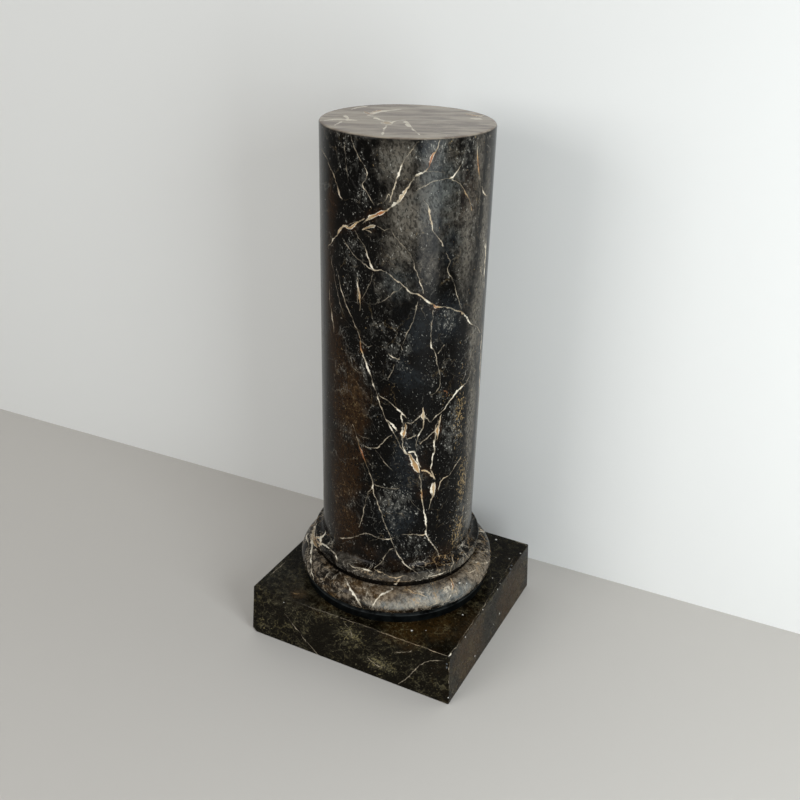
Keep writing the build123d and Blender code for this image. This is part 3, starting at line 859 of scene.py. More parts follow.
# How the veins are laid into vertex layers, in metres where nothing else is said
veinLayers = {
    "onColumn": 8,
    "onPlinth": 3,
    "apart": 0.016,
    "reach": 0.02,
    "margin": 0.0035,
    "farMm": 50.0,
    "outsideMm": -8.0,
    "haloReach": 0.006,
    "haloWidthMm": 2.2,
    "endShrink": 0.8,  # how fast a vein's half width goes beyond its ends
}


def sortIntoChannels(lines, channelCount):
    # veins that come near each other go to different channels, so that their distances stay apart
    channels = [[] for channel in range(channelCount)]
    for line in sorted(lines, key=lambda rows: -rows[:, 3].max()):
        clearances = []
        for channel in channels:
            nearest = 1.0
            for other in channel:
                gap = line[::2, None, :3] - other[None, ::2, :3]
                nearest = min(nearest, float(np.sqrt((gap ** 2).sum(-1)).min()))
            clearances.append(nearest)
        free = [index for index, gap in enumerate(clearances) if gap > veinLayers["apart"]]
        channels[free[0] if free else int(np.argmax(clearances))].append(line)
    return channels


columnChannels = sortIntoChannels(columnLines, veinLayers["onColumn"])
plinthChannels = sortIntoChannels(plinthLines, veinLayers["onPlinth"])
print("veins in each channel:", [len(channel) for channel in columnChannels + plinthChannels])


def vertexRows(mesh, what):
    # the vertices' places ("co") or normals ("normal") as rows of three
    values = np.empty(len(mesh.vertices) * 3, np.float32)
    mesh.vertices.foreach_get(what, values)
    return values.reshape(-1, 3)


def writeLayer(mesh, name, values):
    layer = mesh.attributes.new(name, "FLOAT_VECTOR", "POINT")
    layer.data.foreach_set("vector", values.astype(np.float32).reshape(-1))


def paintVeins(mesh, veinChannels):
    # each vertex keeps its signed distance to the nearest vein, that vein's half width and its tone
    count = len(mesh.vertices)
    places = vertexRows(mesh, "co").astype(float)
    normals = vertexRows(mesh, "normal").astype(float)
    reach, outside = veinLayers["reach"], veinLayers["outsideMm"]
    glow = np.zeros((count, 3))
    for index, channel in enumerate(veinChannels):
        values = np.tile([veinLayers["farMm"], outside, 0.0], (count, 1))
        best = np.full(count, reach)
        for line in channel:
            low, high = line[:, :3].min(0) - reach, line[:, :3].max(0) + reach
            near = np.flatnonzero(np.all((places > low) & (places < high), axis=1))
            if len(near) == 0:
                continue
            start, end = line[:-1, :3], line[1:, :3]
            along = end - start
            offset = places[near][:, None, :] - start[None]
            share = np.clip((offset * along).sum(-1) / (along ** 2).sum(-1), 0, 1)
            apart = offset - share[..., None] * along
            distance = np.sqrt((apart ** 2).sum(-1))
            pick = distance.argmin(1)
            rows = np.arange(len(near))
            least = distance[rows, pick]
            side = np.sign((np.cross(normals[near], along[pick]) * apart[rows, pick]).sum(-1))
            part = share[rows, pick]
            width = line[pick, 3] * (1 - part) + line[pick + 1, 3] * part
            tone = line[pick, 4] * (1 - part) + line[pick + 1, 4] * part
            beyond = ((pick == 0) & (part <= 0)) | ((pick == len(start) - 1) & (part >= 1))
            width = np.where(beyond, width - 1000 * least * veinLayers["endShrink"], width)
            closer = least < best[near]
            chosen = near[closer]
            best[chosen] = least[closer]
            kept = least[closer] < veinLayers["margin"] + width[closer] / 1000
            values[chosen, 0] = 1000 * least[closer] * side[closer]
            values[chosen, 1] = np.where(kept, width[closer], outside)
            values[chosen, 2] = tone[closer]
            halo = np.exp(-(least / veinLayers["haloReach"]) ** 2)
            halo = halo * np.clip(width / veinLayers["haloWidthMm"], 0, 1)
            glow[near, 0] = np.maximum(glow[near, 0], halo)
            glow[near, 1] = np.maximum(glow[near, 1], halo * np.clip(tone - 1, 0, 1))
        writeLayer(mesh, "vein" + str(index + 1), values)
    writeLayer(mesh, "veinGlow", glow)


# Areas for the side that the photograph doesn't show, placed by a fixed chance
hiddenAreaLooks = {
    "seed": 23,
    "counts": {"warm": 16, "cool": 12, "ochre": 9, "fleck": 22, "mist": 8},
    "overlapDegrees": 8,
    "lowest": 0.05,
    "acrossMm": (18, 40),
    "uprightMm": (28, 70),
    "strengths": (0.5, 1.0),
}


def hiddenAreas():
    looks = hiddenAreaLooks
    chance = np.random.default_rng(looks["seed"])
    start = hiddenGrowth["startDegrees"] - looks["overlapDegrees"]
    end = hiddenGrowth["endDegrees"] + looks["overlapDegrees"]
    areas = {}
    for kind, count in looks["counts"].items():
        angles = np.radians(chance.uniform(start, end, count))
        levels = chance.uniform(looks["lowest"], column["shaftTop"], count)
        radii = outsideRadius(levels)
        areas[kind] = [(radii[index] * math.cos(angles[index]), radii[index] * math.sin(angles[index]),
                        levels[index], chance.uniform(*looks["acrossMm"]),
                        chance.uniform(*looks["uprightMm"]), chance.uniform(*looks["strengths"]))
                       for index in range(count)]
    return areas


def laidAreas():
    # each area as x, y, z, reach across, reach up and down, both in mm, and strength
    hidden = hiddenAreas()
    laid = {}
    for kind, rows in groundAreas.items():
        rows = np.array(rows)
        places, met = castSpots(rows[:, :2])
        laid[kind] = np.vstack([np.column_stack([places, rows[:, 2:]])[met], hidden[kind]])
    return laid


areasOnColumn = laidAreas()


def paintAreas(mesh):
    # each area's share at a vertex falls off as exp(-0.8 ((across/reach)^2 + (up/reach)^2)), and the
    # most of them counts; a layer holds three numbers, so the mist, which in places is a painted reflection,
    # is there twice
    places = vertexRows(mesh, "co")
    shares = {}
    for kind, rows in areasOnColumn.items():
        share = np.zeros(len(places))
        for x, y, z, across, upright, strength in rows:
            beside = ((places[:, 0] - x) ** 2 + (places[:, 1] - y) ** 2) / (across / 1000) ** 2
            above = ((places[:, 2] - z) / (upright / 1000)) ** 2
            share = np.maximum(share, strength * np.exp(-0.8 * (beside + above)))
        shares[kind] = share
    for label, kinds in (("areaHue", ("warm", "cool", "ochre")), ("areaTouch", ("fleck", "mist", "mist"))):
        writeLayer(mesh, label, np.column_stack([shares[kind] for kind in kinds]))


def layDots(mesh):
    # how far each vertex lies inside the nearest white dot and the nearest grey chip, in mm
    places = vertexRows(mesh, "co")
    layers = np.zeros((len(places), 3))
    for index, spots in enumerate(paintSpots.values()):
        spots = np.array(spots)
        centres, met = castSpots(spots[:, :2])
        within = np.full(len(places), veinLayers["outsideMm"])
        for centre, radius in zip(centres[met], spots[met, 2]):
            distance = 1000 * np.sqrt(((places - centre) ** 2).sum(1))
            within = np.maximum(within, radius - distance)
        layers[:, index] = within
    writeLayer(mesh, "spots", layers)


# Short ways to lay out nodes

def addNode(tree, kind, **settings):
    made = tree.nodes.new(kind)
    for key, value in settings.items():
        setattr(made, key, value)
    return made


def feed(tree, socket, value):
    if isinstance(value, bpy.types.NodeSocket):
        tree.links.new(value, socket)
    else:
        socket.default_value = value


def calc(tree, operation, first, second=None, third=None, clamp=False):
    made = addNode(tree, "ShaderNodeMath", operation=operation, use_clamp=clamp)
    for socket, value in zip(made.inputs, (first, second, third)):
        if value is not None:
            feed(tree, socket, value)
    return made.outputs[0]


def mixColour(tree, amount, under, over, mode="MIX"):
    made = addNode(tree, "ShaderNodeMix", data_type="RGBA", blend_type=mode)
    feed(tree, made.inputs[0], amount)
    feed(tree, made.inputs[6], under)
    feed(tree, made.inputs[7], over)
    return made.outputs[2]


def ease(tree, value, low, high):
    made = addNode(tree, "ShaderNodeMapRange", interpolation_type="SMOOTHSTEP")
    feed(tree, made.inputs["Value"], value)
    made.inputs["From Min"].default_value = low
    made.inputs["From Max"].default_value = high
    return made.outputs[0]


def times(tree, first, second):
    return calc(tree, "MULTIPLY", first, second)


def scaled(tree, value, gain, base):
    # value times gain plus base
    return calc(tree, "MULTIPLY_ADD", value, gain, base)


def atLeast(tree, share, least):
    # a share from 0 to 1, squeezed into least to 1
    return scaled(tree, share, 1 - least, least)


def cloud(tree, place, scale, detail, rough, bend, seed):
    made = addNode(tree, "ShaderNodeTexNoise", noise_dimensions="4D")
    feed(tree, made.inputs["Vector"], place)
    made.inputs["W"].default_value = seed
    made.inputs["Scale"].default_value = scale
    made.inputs["Detail"].default_value = detail
    made.inputs["Roughness"].default_value = rough
    made.inputs["Distortion"].default_value = bend
    return made


def newGroup(name, inputs, outputs):
    # each input has a colour or a number to start from, or None where it is a vector
    tree = bpy.data.node_groups.new(name, "ShaderNodeTree")
    for label, value in inputs.items():
        kind = "Vector" if value is None else "Color" if isinstance(value, tuple) else "Float"
        socket = tree.interface.new_socket(label, in_out="INPUT", socket_type="NodeSocket" + kind)
        if value is not None:
            socket.default_value = value
    for label, kind in outputs.items():
        tree.interface.new_socket(label, in_out="OUTPUT", socket_type="NodeSocket" + kind)
    return tree, addNode(tree, "NodeGroupInput"), addNode(tree, "NodeGroupOutput")


def useGroup(tree, group, **values):
    made = addNode(tree, "ShaderNodeGroup", node_tree=group)
    for label, value in values.items():
        feed(tree, made.inputs[label], value)
    return made


def objectPlace(tree):
    return addNode(tree, "ShaderNodeTexCoord").outputs["Object"]


def vertexLayer(tree, name):
    return addNode(tree, "ShaderNodeAttribute", attribute_name=name).outputs["Vector"]


def split(tree, vector):
    # the three numbers of a vector
    parts = addNode(tree, "ShaderNodeSeparateXYZ")
    feed(tree, parts.inputs[0], vector)
    return parts.outputs


def squashed(tree, place, turn, scale):
    # place, turned and then squashed, so that what is drawn from it comes out long and slanting
    turned = addNode(tree, "ShaderNodeMapping")
    feed(tree, turned.inputs["Vector"], place)
    turned.inputs["Rotation"].default_value = [math.radians(angle) for angle in turn]
    pressed = addNode(tree, "ShaderNodeVectorMath", operation="MULTIPLY")
    feed(tree, pressed.inputs[0], turned.outputs[0])
    pressed.inputs[1].default_value = scale
    return pressed.outputs[0]


# The noises: scale per metre, detail, roughness, bend and seed
clouds = {
    "broad": (26.0, 5.0, 0.62, 0.4, 1.3),
    "mottle": (105.0, 5.0, 0.70, 0.3, 2.2),
    "grain": (300.0, 2.0, 0.6, 0.2, 7.1),
    "fleck": (430.0, 2.0, 0.55, 0.6, 3.7),
    "speck": (330.0, 2.0, 0.55, 0.6, 9.3),
    "gate": (18.0, 2.0, 0.5, 0.0, 9.9),
    "slow": (70.0, 2.0, 0.6, 0.0, 4.4),
    "brushed": (60.0, 5.0, 0.62, 0.4, 5.0),
    "board": (240.0, 5.0, 0.6, 0.5, 3.0),
    "disc": (60.0, 5.0, 0.6, 0.3, 2.0),
    "softwood": (260.0, 6.0, 0.6, 0.6, 1.0),
    "steel": (900.0, 5.0, 0.6, 0.3, 1.0),
}

# Veins: colours by tone, and pairs of values between which a mask goes from none to full
veinLook = {
    "grey": (0.115, 0.100, 0.080, 1),
    "cream": (0.52, 0.44, 0.32, 1),
    "ochre": (0.40, 0.26, 0.120, 1),
    "orange": (0.30, 0.110, 0.042, 1),
    "border": (0.76, 0.69, 0.56, 1),
    "haze": (0.10, 0.042, 0.016, 1),
    "opacity": 0.95,
    "swell": 3.2,
    "leastSwell": 0.4,
    "edge": (-0.30, 0.40),
    "thinWidths": (0.2, 1.2),
    "fadeShades": (0.36, 0.58),
    "leastCover": 0.55,
    "leastWidth": 0.2,
    "toneWander": 0.7,
    "wideWidths": (1.0, 1.8),
    "rimShares": (0.5, 0.85),
    "creamTones": (1.25, 0.95),
    "creamWidths": (0.7, 1.3),
    "hazeShades": (0.35, 0.7),
    "hazeCover": 0.40,
    "relief": 0.3,
}


def paintedVeinGroup():
    # one channel of veins: inside where the wobbled distance is under the half width, thinner veins
    # let more of the ground through, and wide ones have a pale border
    look = veinLook
    tree, inside, out = newGroup("paintedVein", {"Vein": None, "Wobble": 0.0, "Shade": 0.5},
                                 {"Mask": "Float", "Colour": "Color"})
    shade = inside.outputs["Shade"]
    signed, halfWidth, vein = split(tree, inside.outputs["Vein"])
    distance = calc(tree, "ABSOLUTE", calc(tree, "ADD", signed, inside.outputs["Wobble"]))
    swell = scaled(tree, calc(tree, "SUBTRACT", shade, 0.5), look["swell"], 1.0)
    width = times(tree, halfWidth, calc(tree, "MAXIMUM", swell, look["leastSwell"]))
    mask = ease(tree, calc(tree, "SUBTRACT", width, distance), *look["edge"])
    body = atLeast(tree, ease(tree, width, *look["thinWidths"]), look["leastCover"])
    fade = atLeast(tree, ease(tree, shade, *look["fadeShades"]), look["leastCover"])
    mask = times(tree, mask, times(tree, body, fade))
    share = calc(tree, "DIVIDE", distance, calc(tree, "MAXIMUM", width, look["leastWidth"]))
    tone = calc(tree, "ADD", vein, times(tree, shade, look["toneWander"]))
    tone = calc(tree, "DIVIDE", calc(tree, "SUBTRACT", tone, look["toneWander"] / 2), 3.0, clamp=True)
    ramp = addNode(tree, "ShaderNodeValToRGB")
    feed(tree, ramp.inputs[0], tone)
    ramp.color_ramp.elements[0].color = look["grey"]
    ramp.color_ramp.elements[1].color = look["orange"]
    for place, name in ((0.333, "cream"), (0.667, "ochre")):
        ramp.color_ramp.elements.new(place).color = look[name]
    wide = ease(tree, width, *look["wideWidths"])
    rim = times(tree, ease(tree, share, *look["rimShares"]), wide)
    pale = times(tree, ease(tree, vein, *look["creamTones"]), ease(tree, width, *look["creamWidths"]))
    colour = mixColour(tree, calc(tree, "MAXIMUM", rim, pale), ramp.outputs[0], look["border"])
    feed(tree, out.inputs["Mask"], mask)
    feed(tree, out.inputs["Colour"], colour)
    return tree


# The ground as it is on the shaft. The other pieces give some of these their own values.
marbleLook = {
    "Dark": (0.0012, 0.0010, 0.0007, 1),
    "Warm": (0.0175, 0.0075, 0.0018, 1),
    "Cool": (0.0095, 0.0115, 0.0130, 1),
    # the mist colours are painted where the mist areas lie, in places as a painted reflection
    "Mist": (0.120, 0.106, 0.085, 1),
    "CoolMistAndReflection": (0.110, 0.119, 0.109, 1),
    "Fleck": (0.30, 0.29, 0.255, 1),
    "WarmFleck": (0.120, 0.073, 0.032, 1),
    "Ochre": (0.24, 0.170, 0.080, 1),
    "FleckAmount": 0.85,
    "FleckFloor": 0.15,
    "GapAmount": 0.65,
    "MistAndReflectionGain": 1.5,
    "NetAmount": 0.22,
    "NetScale": 22.0,
}

# How raggedly the areas' edges break up (low, high, gain) and how much each touch covers
marbleTouch = {
    "warmEdge": (0.15, 0.85, 1.6),
    "coolEdge": (0.2, 0.95, 1.6),
    "mistAndReflectionEdge": (0.15, 1.15),
    "softEdge": (0.45, 1.2, 4.0),
    "mistAndReflectionCover": 0.85,
    "coolMistAndReflectionShare": 0.8,
    "softCover": 0.13,
    "ochreCover": 0.75,
    "gapGrain": (0.47, 0.60),
    "fleckLimit": (-0.125, 0.665),
    "fleckEdge": (0.0, 0.045),
    "clusterMottle": (0.42, 0.56),
    "leastCluster": 0.10,
    "patchBroad": (0.38, 0.54),
    "leastPatch": 0.35,
    "ochreLimit": (-0.17, 0.70),
    "ochreEdge": (0.0, 0.06),
    "netBend": (0.06, 0.06, 0.06),
    "netWidthMm": (0.95, 0.25),
    "netGate": (0.44, 0.56),
    "netMottle": (0.35, 0.6),
    "netHue": (0.42, 0.60),
    "wobbleFine": 3.4,
    "wobbleSlow": 7.0,
    "fleckRelief": 0.4,
    "roughHeights": (0.3, 0.9),  # where the ground's height gives the least and the most roughness
}


def marbleGroundGroup():
    # dark ground with brown and blue-black areas, a soft grey mist that in places is a painted
    # reflection, sponged flecks whose density follows the areas, ochre flecks and a net of fine hairlines
    touch = marbleTouch
    tree, inside, out = newGroup(
        "marbleGround", {"Place": None, "Streak": None, "Hue": None, "Touch": None, **marbleLook},
        {"Colour": "Color", "Height": "Float", "Shade": "Float", "Wobble": "Float"})
    given = inside.outputs
    place, streak, dark = given["Place"], given["Streak"], given["Dark"]
    warm, cool, ochre = split(tree, given["Hue"])
    touched = split(tree, given["Touch"])
    fleckArea = calc(tree, "MAXIMUM", touched[0], given["FleckFloor"])
    broad = cloud(tree, place, *clouds["broad"])
    parts = addNode(tree, "ShaderNodeSeparateColor")
    feed(tree, parts.inputs[0], broad.outputs["Color"])
    broadPatch, broadWarm, broadCool = parts.outputs
    mottle = cloud(tree, streak, *clouds["mottle"]).outputs[0]
    grain = cloud(tree, streak, *clouds["grain"]).outputs[0]

    def spread(area, noise, low, high, gain):
        # full where the area plus gain times the noise's distance from a half is above high
        return ease(tree, scaled(tree, calc(tree, "SUBTRACT", noise, 0.5), gain, area), low, high)

    def tips(noise, area, limit, edge):
        # bright tips of a fine noise, the more of them the stronger the area is
        return ease(tree, calc(tree, "SUBTRACT", noise, scaled(tree, area, *limit)), *edge)

    browned = spread(warm, broadWarm, *touch["warmEdge"])
    colour = mixColour(tree, browned, dark, given["Warm"])
    fleckColour = mixColour(tree, browned, given["Fleck"], given["WarmFleck"])
    cooled = spread(cool, broadCool, *touch["coolEdge"])
    colour = mixColour(tree, cooled, colour, given["Cool"])
    mist = spread(touched[1], mottle, *touch["mistAndReflectionEdge"], given["MistAndReflectionGain"])
    mistAndReflectionColour = mixColour(tree, times(tree, cooled, touch["coolMistAndReflectionShare"]), given["Mist"],
                           given["CoolMistAndReflection"])
    colour = mixColour(tree, times(tree, mist, touch["mistAndReflectionCover"]), colour, mistAndReflectionColour)
    gaps = times(tree, ease(tree, grain, *touch["gapGrain"]), given["GapAmount"])
    colour = mixColour(tree, gaps, colour, dark)
    # soft streaks under the flecks
    soft = times(tree, spread(fleckArea, mottle, *touch["softEdge"]), touch["softCover"])
    colour = mixColour(tree, soft, colour, fleckColour)
    # flecks, in clusters and patches
    fine = cloud(tree, streak, *clouds["fleck"]).outputs[0]
    bright = tips(fine, fleckArea, touch["fleckLimit"], touch["fleckEdge"])
    cluster = atLeast(tree, ease(tree, mottle, *touch["clusterMottle"]), touch["leastCluster"])
    patch = atLeast(tree, ease(tree, broadPatch, *touch["patchBroad"]), touch["leastPatch"])
    fleck = times(tree, times(tree, bright, times(tree, cluster, patch)), given["FleckAmount"])
    colour = mixColour(tree, fleck, colour, fleckColour)
    speck = cloud(tree, streak, *clouds["speck"]).outputs[0]
    bright = tips(speck, ochre, touch["ochreLimit"], touch["ochreEdge"])
    colour = mixColour(tree, times(tree, bright, touch["ochreCover"]), colour, given["Ochre"])
    # hairlines: edges of bent cells, let through here and there by a wide noise
    shift = addNode(tree, "ShaderNodeVectorMath", operation="MULTIPLY_ADD")
    feed(tree, shift.inputs[0], broad.outputs["Color"])
    feed(tree, shift.inputs[1], touch["netBend"])
    feed(tree, shift.inputs[2], place)
    cells = addNode(tree, "ShaderNodeTexVoronoi", feature="DISTANCE_TO_EDGE")
    feed(tree, cells.inputs["Vector"], shift.outputs[0])
    feed(tree, cells.inputs["Scale"], given["NetScale"])
    apart = times(tree, calc(tree, "DIVIDE", cells.outputs["Distance"], given["NetScale"]), 1000)
    line = ease(tree, apart, *touch["netWidthMm"])
    gate = ease(tree, cloud(tree, place, *clouds["gate"]).outputs[0], *touch["netGate"])
    lively = times(tree, given["NetAmount"], ease(tree, mottle, *touch["netMottle"]))
    net = times(tree, times(tree, line, gate), lively)
    lineColour = mixColour(tree, ease(tree, broadWarm, *touch["netHue"]), given["Fleck"], given["Ochre"])
    colour = mixColour(tree, net, colour, lineColour)
    slow = cloud(tree, place, *clouds["slow"]).outputs[0]
    wobble = times(tree, calc(tree, "SUBTRACT", grain, 0.5), touch["wobbleFine"])
    wobble = scaled(tree, calc(tree, "SUBTRACT", slow, 0.5), touch["wobbleSlow"], wobble)
    feed(tree, out.inputs["Colour"], colour)
    feed(tree, out.inputs["Height"], scaled(tree, fleck, touch["fleckRelief"], mottle))
    feed(tree, out.inputs["Shade"], slow)
    feed(tree, out.inputs["Wobble"], wobble)
    return tree


spotLook = {
    "dot": (0.70, 0.68, 0.64, 1),
    "chip": (0.13, 0.14, 0.145, 1),
    "dotEdge": (-0.2, 0.5),
    "chipEdge": (-0.3, 0.8),
    "dotWobble": 0.5,
    "chipCover": 0.8,
}


def spotColoursGroup():
    # white paint dots and grey chips, laid over a colour by how far a point lies inside them
    tree, inside, out = newGroup(
        "spotColours", {"Colour": marbleLook["Dark"], "Spots": None, "Wobble": 0.0},
        {"Colour": "Color", "Mask": "Float"})
    insideDot, insideChip = split(tree, inside.outputs["Spots"])[:2]
    wobble = inside.outputs["Wobble"]
    dot = ease(tree, scaled(tree, wobble, spotLook["dotWobble"], insideDot), *spotLook["dotEdge"])
    chip = ease(tree, calc(tree, "ADD", insideChip, wobble), *spotLook["chipEdge"])
    colour = mixColour(tree, times(tree, chip, spotLook["chipCover"]), inside.outputs["Colour"],
                       spotLook["chip"])
    feed(tree, out.inputs["Colour"], mixColour(tree, dot, colour, spotLook["dot"]))
    feed(tree, out.inputs["Mask"], calc(tree, "MAXIMUM", dot, chip))
    return tree


paintedVein = paintedVeinGroup()
marbleGround = marbleGroundGroup()
spotColours = spotColoursGroup()


def newMaterial(name, sheen=0.5):
    material = bpy.data.materials.new(name)
    material.use_nodes = True
    tree = material.node_tree
    tree.nodes.clear()
    surface = addNode(tree, "ShaderNodeBsdfPrincipled")
    surface.inputs["Specular IOR Level"].default_value = sheen
    output = addNode(tree, "ShaderNodeOutputMaterial")
    feed(tree, output.inputs[0], surface.outputs[0])
    return material, tree, surface


def finishSurface(tree, surface, colour, rough, height, strength, distance):
    # colour and roughness as given, and a relief from height
    bump = addNode(tree, "ShaderNodeBump")
    bump.inputs["Strength"].default_value = strength
    bump.inputs["Distance"].default_value = distance
    feed(tree, bump.inputs["Height"], height)
    feed(tree, surface.inputs["Normal"], bump.outputs[0])
    feed(tree, surface.inputs["Base Color"], colour)
    feed(tree, surface.inputs["Roughness"], rough)


columnPaint = {
    "roughness": (0.14, 0.30),
    "sheen": 0.085,
    "relief": (0.3, 0.0003),  # strength and distance
    "fleckLean": (0, 14, 0),
    "fleckPress": (1.0, 1.0, 0.62),
    # the top face is brushed across in long streaks; its pale colour is partly its own paint and partly a
    # painted reflection of the pale wall
    "topDarkWithReflection": (0.200, 0.156, 0.124, 1),
    "topPaleWithReflection": (0.395, 0.338, 0.268, 1),
    "topPress": (0.22, 1.0, 1.0),
    "topContrast": (0.40, 0.60),
    "topStart": 0.0022,  # from here below the top face
    "topFull": 0.0003,
    "topCover": 0.92,
    # painted shade: the groove under the collar, and the inner ring of the torus's top beside it, are
    # darkened where shade falls in the recess
    "grooveShade": (0.0022, 0.0018, 0.0014, 1),
    "grooveFade": 0.0016,
    "grooveReach": (0.1358, 0.1340),
    "grooveCover": 0.94,
}

# What the collar's and the torus's ground have of their own
collarGround = {
    "NetAmount": 0.85,
    "NetScale": 46.0,
    "FleckFloor": 0.30,
    "GapAmount": 0.5,
    "Fleck": (0.42, 0.38, 0.31, 1),
    "Ochre": (0.30, 0.19, 0.085, 1),
}
torusGround = {
    "NetAmount": 1.0,
    "NetScale": 46.0,
    "FleckFloor": 0.42,
    "GapAmount": 0.42,
    "MistAndReflectionGain": 4.0,
    "Dark": (0.0065, 0.0045, 0.0028, 1),
    "Warm": (0.062, 0.036, 0.016, 1),
    # on the torus the cool colour and the cool mist are a pale bluish white: along its lower front they are
    # a painted reflection of the floor
    "Cool": (0.150, 0.158, 0.152, 1),
    "Mist": (0.225, 0.180, 0.130, 1),
    "CoolMistAndReflection": (0.228, 0.222, 0.195, 1),
    "Fleck": (0.50, 0.45, 0.36, 1),
    "WarmFleck": (0.32, 0.235, 0.14, 1),
    "Ochre": (0.34, 0.215, 0.095, 1),
}


def marbledGround(tree, lean, press, values):
    # the ground's group, fed with the place, the flecks' slant and the piece's painted areas
    place = objectPlace(tree)
    ground = useGroup(tree, marbleGround, Place=place, Streak=squashed(tree, place, lean, press),
                      Hue=vertexLayer(tree, "areaHue"), Touch=vertexLayer(tree, "areaTouch"), **values)
    return place, ground.outputs


def veined(tree, ground, colour, channelCount, roughness):
    # an orange haze near the veins, the veins over it, then dots and chips; roughness and relief
    # follow the ground's height, which the veins and dots raise
    haze = times(tree, split(tree, vertexLayer(tree, "veinGlow"))[1],
                 ease(tree, ground["Shade"], *veinLook["hazeShades"]))
    colour = mixColour(tree, times(tree, haze, veinLook["hazeCover"]), colour, veinLook["haze"])
    covered = 0.0
    for index in range(channelCount):
        painted = useGroup(tree, paintedVein, Vein=vertexLayer(tree, "vein" + str(index + 1)),
                           Wobble=ground["Wobble"], Shade=ground["Shade"]).outputs
        amount = times(tree, painted["Mask"], veinLook["opacity"])
        colour = mixColour(tree, amount, colour, painted["Colour"])
        covered = calc(tree, "MAXIMUM", painted["Mask"], covered)
    spotted = useGroup(tree, spotColours, Colour=colour, Spots=vertexLayer(tree, "spots"),
                       Wobble=ground["Wobble"]).outputs
    covered = calc(tree, "MAXIMUM", spotted["Mask"], covered)
    rough = addNode(tree, "ShaderNodeMapRange")
    feed(tree, rough.inputs["Value"], ground["Height"])
    ends = (*marbleTouch["roughHeights"], *roughness)
    for label, value in zip(("From Min", "From Max", "To Min", "To Max"), ends):
        rough.inputs[label].default_value = value
    height = scaled(tree, covered, veinLook["relief"], ground["Height"])
    return spotted["Colour"], rough.outputs[0], height


def columnMaterial(name, values):
    # the veined ground, with a paler, greyish brown on the top face, partly its own paint and partly a
    # painted reflection of the pale wall, and painted shade in the groove
    paint = columnPaint
    material, tree, surface = newMaterial(name, paint["sheen"])
    place, ground = marbledGround(tree, paint["fleckLean"], paint["fleckPress"], values)
    x, y, z = split(tree, place)
    streaks = squashed(tree, place, (0, 0, -view["turnDegrees"]), paint["topPress"])
    brushed = cloud(tree, streaks, *clouds["brushed"]).outputs[0]
    # the top face's colour, partly a painted reflection of the pale wall
    face = mixColour(tree, ease(tree, brushed, *paint["topContrast"]), paint["topDarkWithReflection"], paint["topPaleWithReflection"])
    onTop = ease(tree, z, column["height"] - paint["topStart"], column["height"] - paint["topFull"])
    colour = mixColour(tree, times(tree, onTop, paint["topCover"]), ground["Colour"], face)
    half = column["quirkHeight"] / 2
    away = calc(tree, "ABSOLUTE", calc(tree, "SUBTRACT", z, column["torusTop"] + half))
    plan = addNode(tree, "ShaderNodeCombineXYZ")
    feed(tree, plan.inputs[0], x)
    feed(tree, plan.inputs[1], y)
    reach = addNode(tree, "ShaderNodeVectorMath", operation="LENGTH")
    feed(tree, reach.inputs[0], plan.outputs[0])
    # painted shade in the groove: full across the quirk's height, fading onto the torus's top, inside the
    # collar's reach
    groove = times(tree, ease(tree, away, half + paint["grooveFade"], half),
                   ease(tree, reach.outputs["Value"], *paint["grooveReach"]))
    colour = mixColour(tree, times(tree, groove, paint["grooveCover"]), colour, paint["grooveShade"])
    colour, rough, height = veined(tree, ground, colour, veinLayers["onColumn"], paint["roughness"])
    finishSurface(tree, surface, colour, rough, height, *paint["relief"])
    return material


plinthPaint = {
    "ground": {
        "Dark": (0.0040, 0.0029, 0.0011, 1),
        "Warm": (0.030, 0.0160, 0.0045, 1),
        "Cool": (0.0100, 0.0098, 0.0068, 1),
        "Mist": (0.044, 0.037, 0.023, 1),
        "Fleck": (0.135, 0.118, 0.072, 1),
        "WarmFleck": (0.105, 0.064, 0.024, 1),
        "Ochre": (0.155, 0.130, 0.062, 1),
        "FleckAmount": 0.75,
        "FleckFloor": 0.36,
        "NetAmount": 0.42,
        "NetScale": 60.0,
    },
    "roughness": (0.22, 0.42),
    "sheen": 0.07,
    "relief": (0.3, 0.0004),
    "fleckLean": (0, 38, 20),
    "fleckPress": (0.45, 1.0, 1.1),
    "woodDark": (0.22, 0.14, 0.075, 1),
    "woodPale": (0.36, 0.25, 0.15, 1),
    "woodPress": (0.1, 1.0, 1.0),
    "wallGap": 0.0005,
    "ceilingGap": 0.002,
}


def plinthMaterial():
    # the veined ground outside, and bare wood within the frame of boards: both reaches short of the
    # inner walls, below the top
    paint = plinthPaint
    material, tree, surface = newMaterial("plinthMarblePaint", paint["sheen"])
    place, ground = marbledGround(tree, paint["fleckLean"], paint["fleckPress"], paint["ground"])
    colour, rough, height = veined(tree, ground, ground["Colour"], veinLayers["onPlinth"],
                                   paint["roughness"])
    x, y, z = split(tree, place)
    wallX = plinth["topHalfWidth"] - plinth["wall"] + paint["wallGap"]
    wallY = plinth["topHalfDepth"] - plinth["wall"] + paint["wallGap"]
    within = times(tree, calc(tree, "LESS_THAN", calc(tree, "ABSOLUTE", x), wallX),
                   calc(tree, "LESS_THAN", calc(tree, "ABSOLUTE", y), wallY))
    below = calc(tree, "LESS_THAN", z, plinth["boardUnder"] + paint["ceilingGap"])
    grain = cloud(tree, squashed(tree, place, (0, 0, 0), paint["woodPress"]), *clouds["board"]).outputs[0]
    wood = mixColour(tree, grain, paint["woodDark"], paint["woodPale"])
    colour = mixColour(tree, times(tree, within, below), colour, wood)
    finishSurface(tree, surface, colour, rough, height, *paint["relief"])
    return material


discPaint = {
    "dark": (0.0012, 0.0014, 0.0014, 1),
    "pale": (0.0035, 0.0042, 0.0042, 1),
    "contrast": (0.4, 0.65),
    "wearAndHighlight": (0.05, 0.055, 0.055, 1),
    "wearAndHighlightStart": 0.0016,  # from here below the disc's upper face
    "wearAndHighlightFull": 0.0004,
    "wearAndHighlightMottle": (0.35, 0.6),
    "wearAndHighlightCover": 0.5,
    "roughness": (0.3, 0.18),  # gain and base
    "sheen": 0.05,
    "relief": (0.3, 0.0003),
}


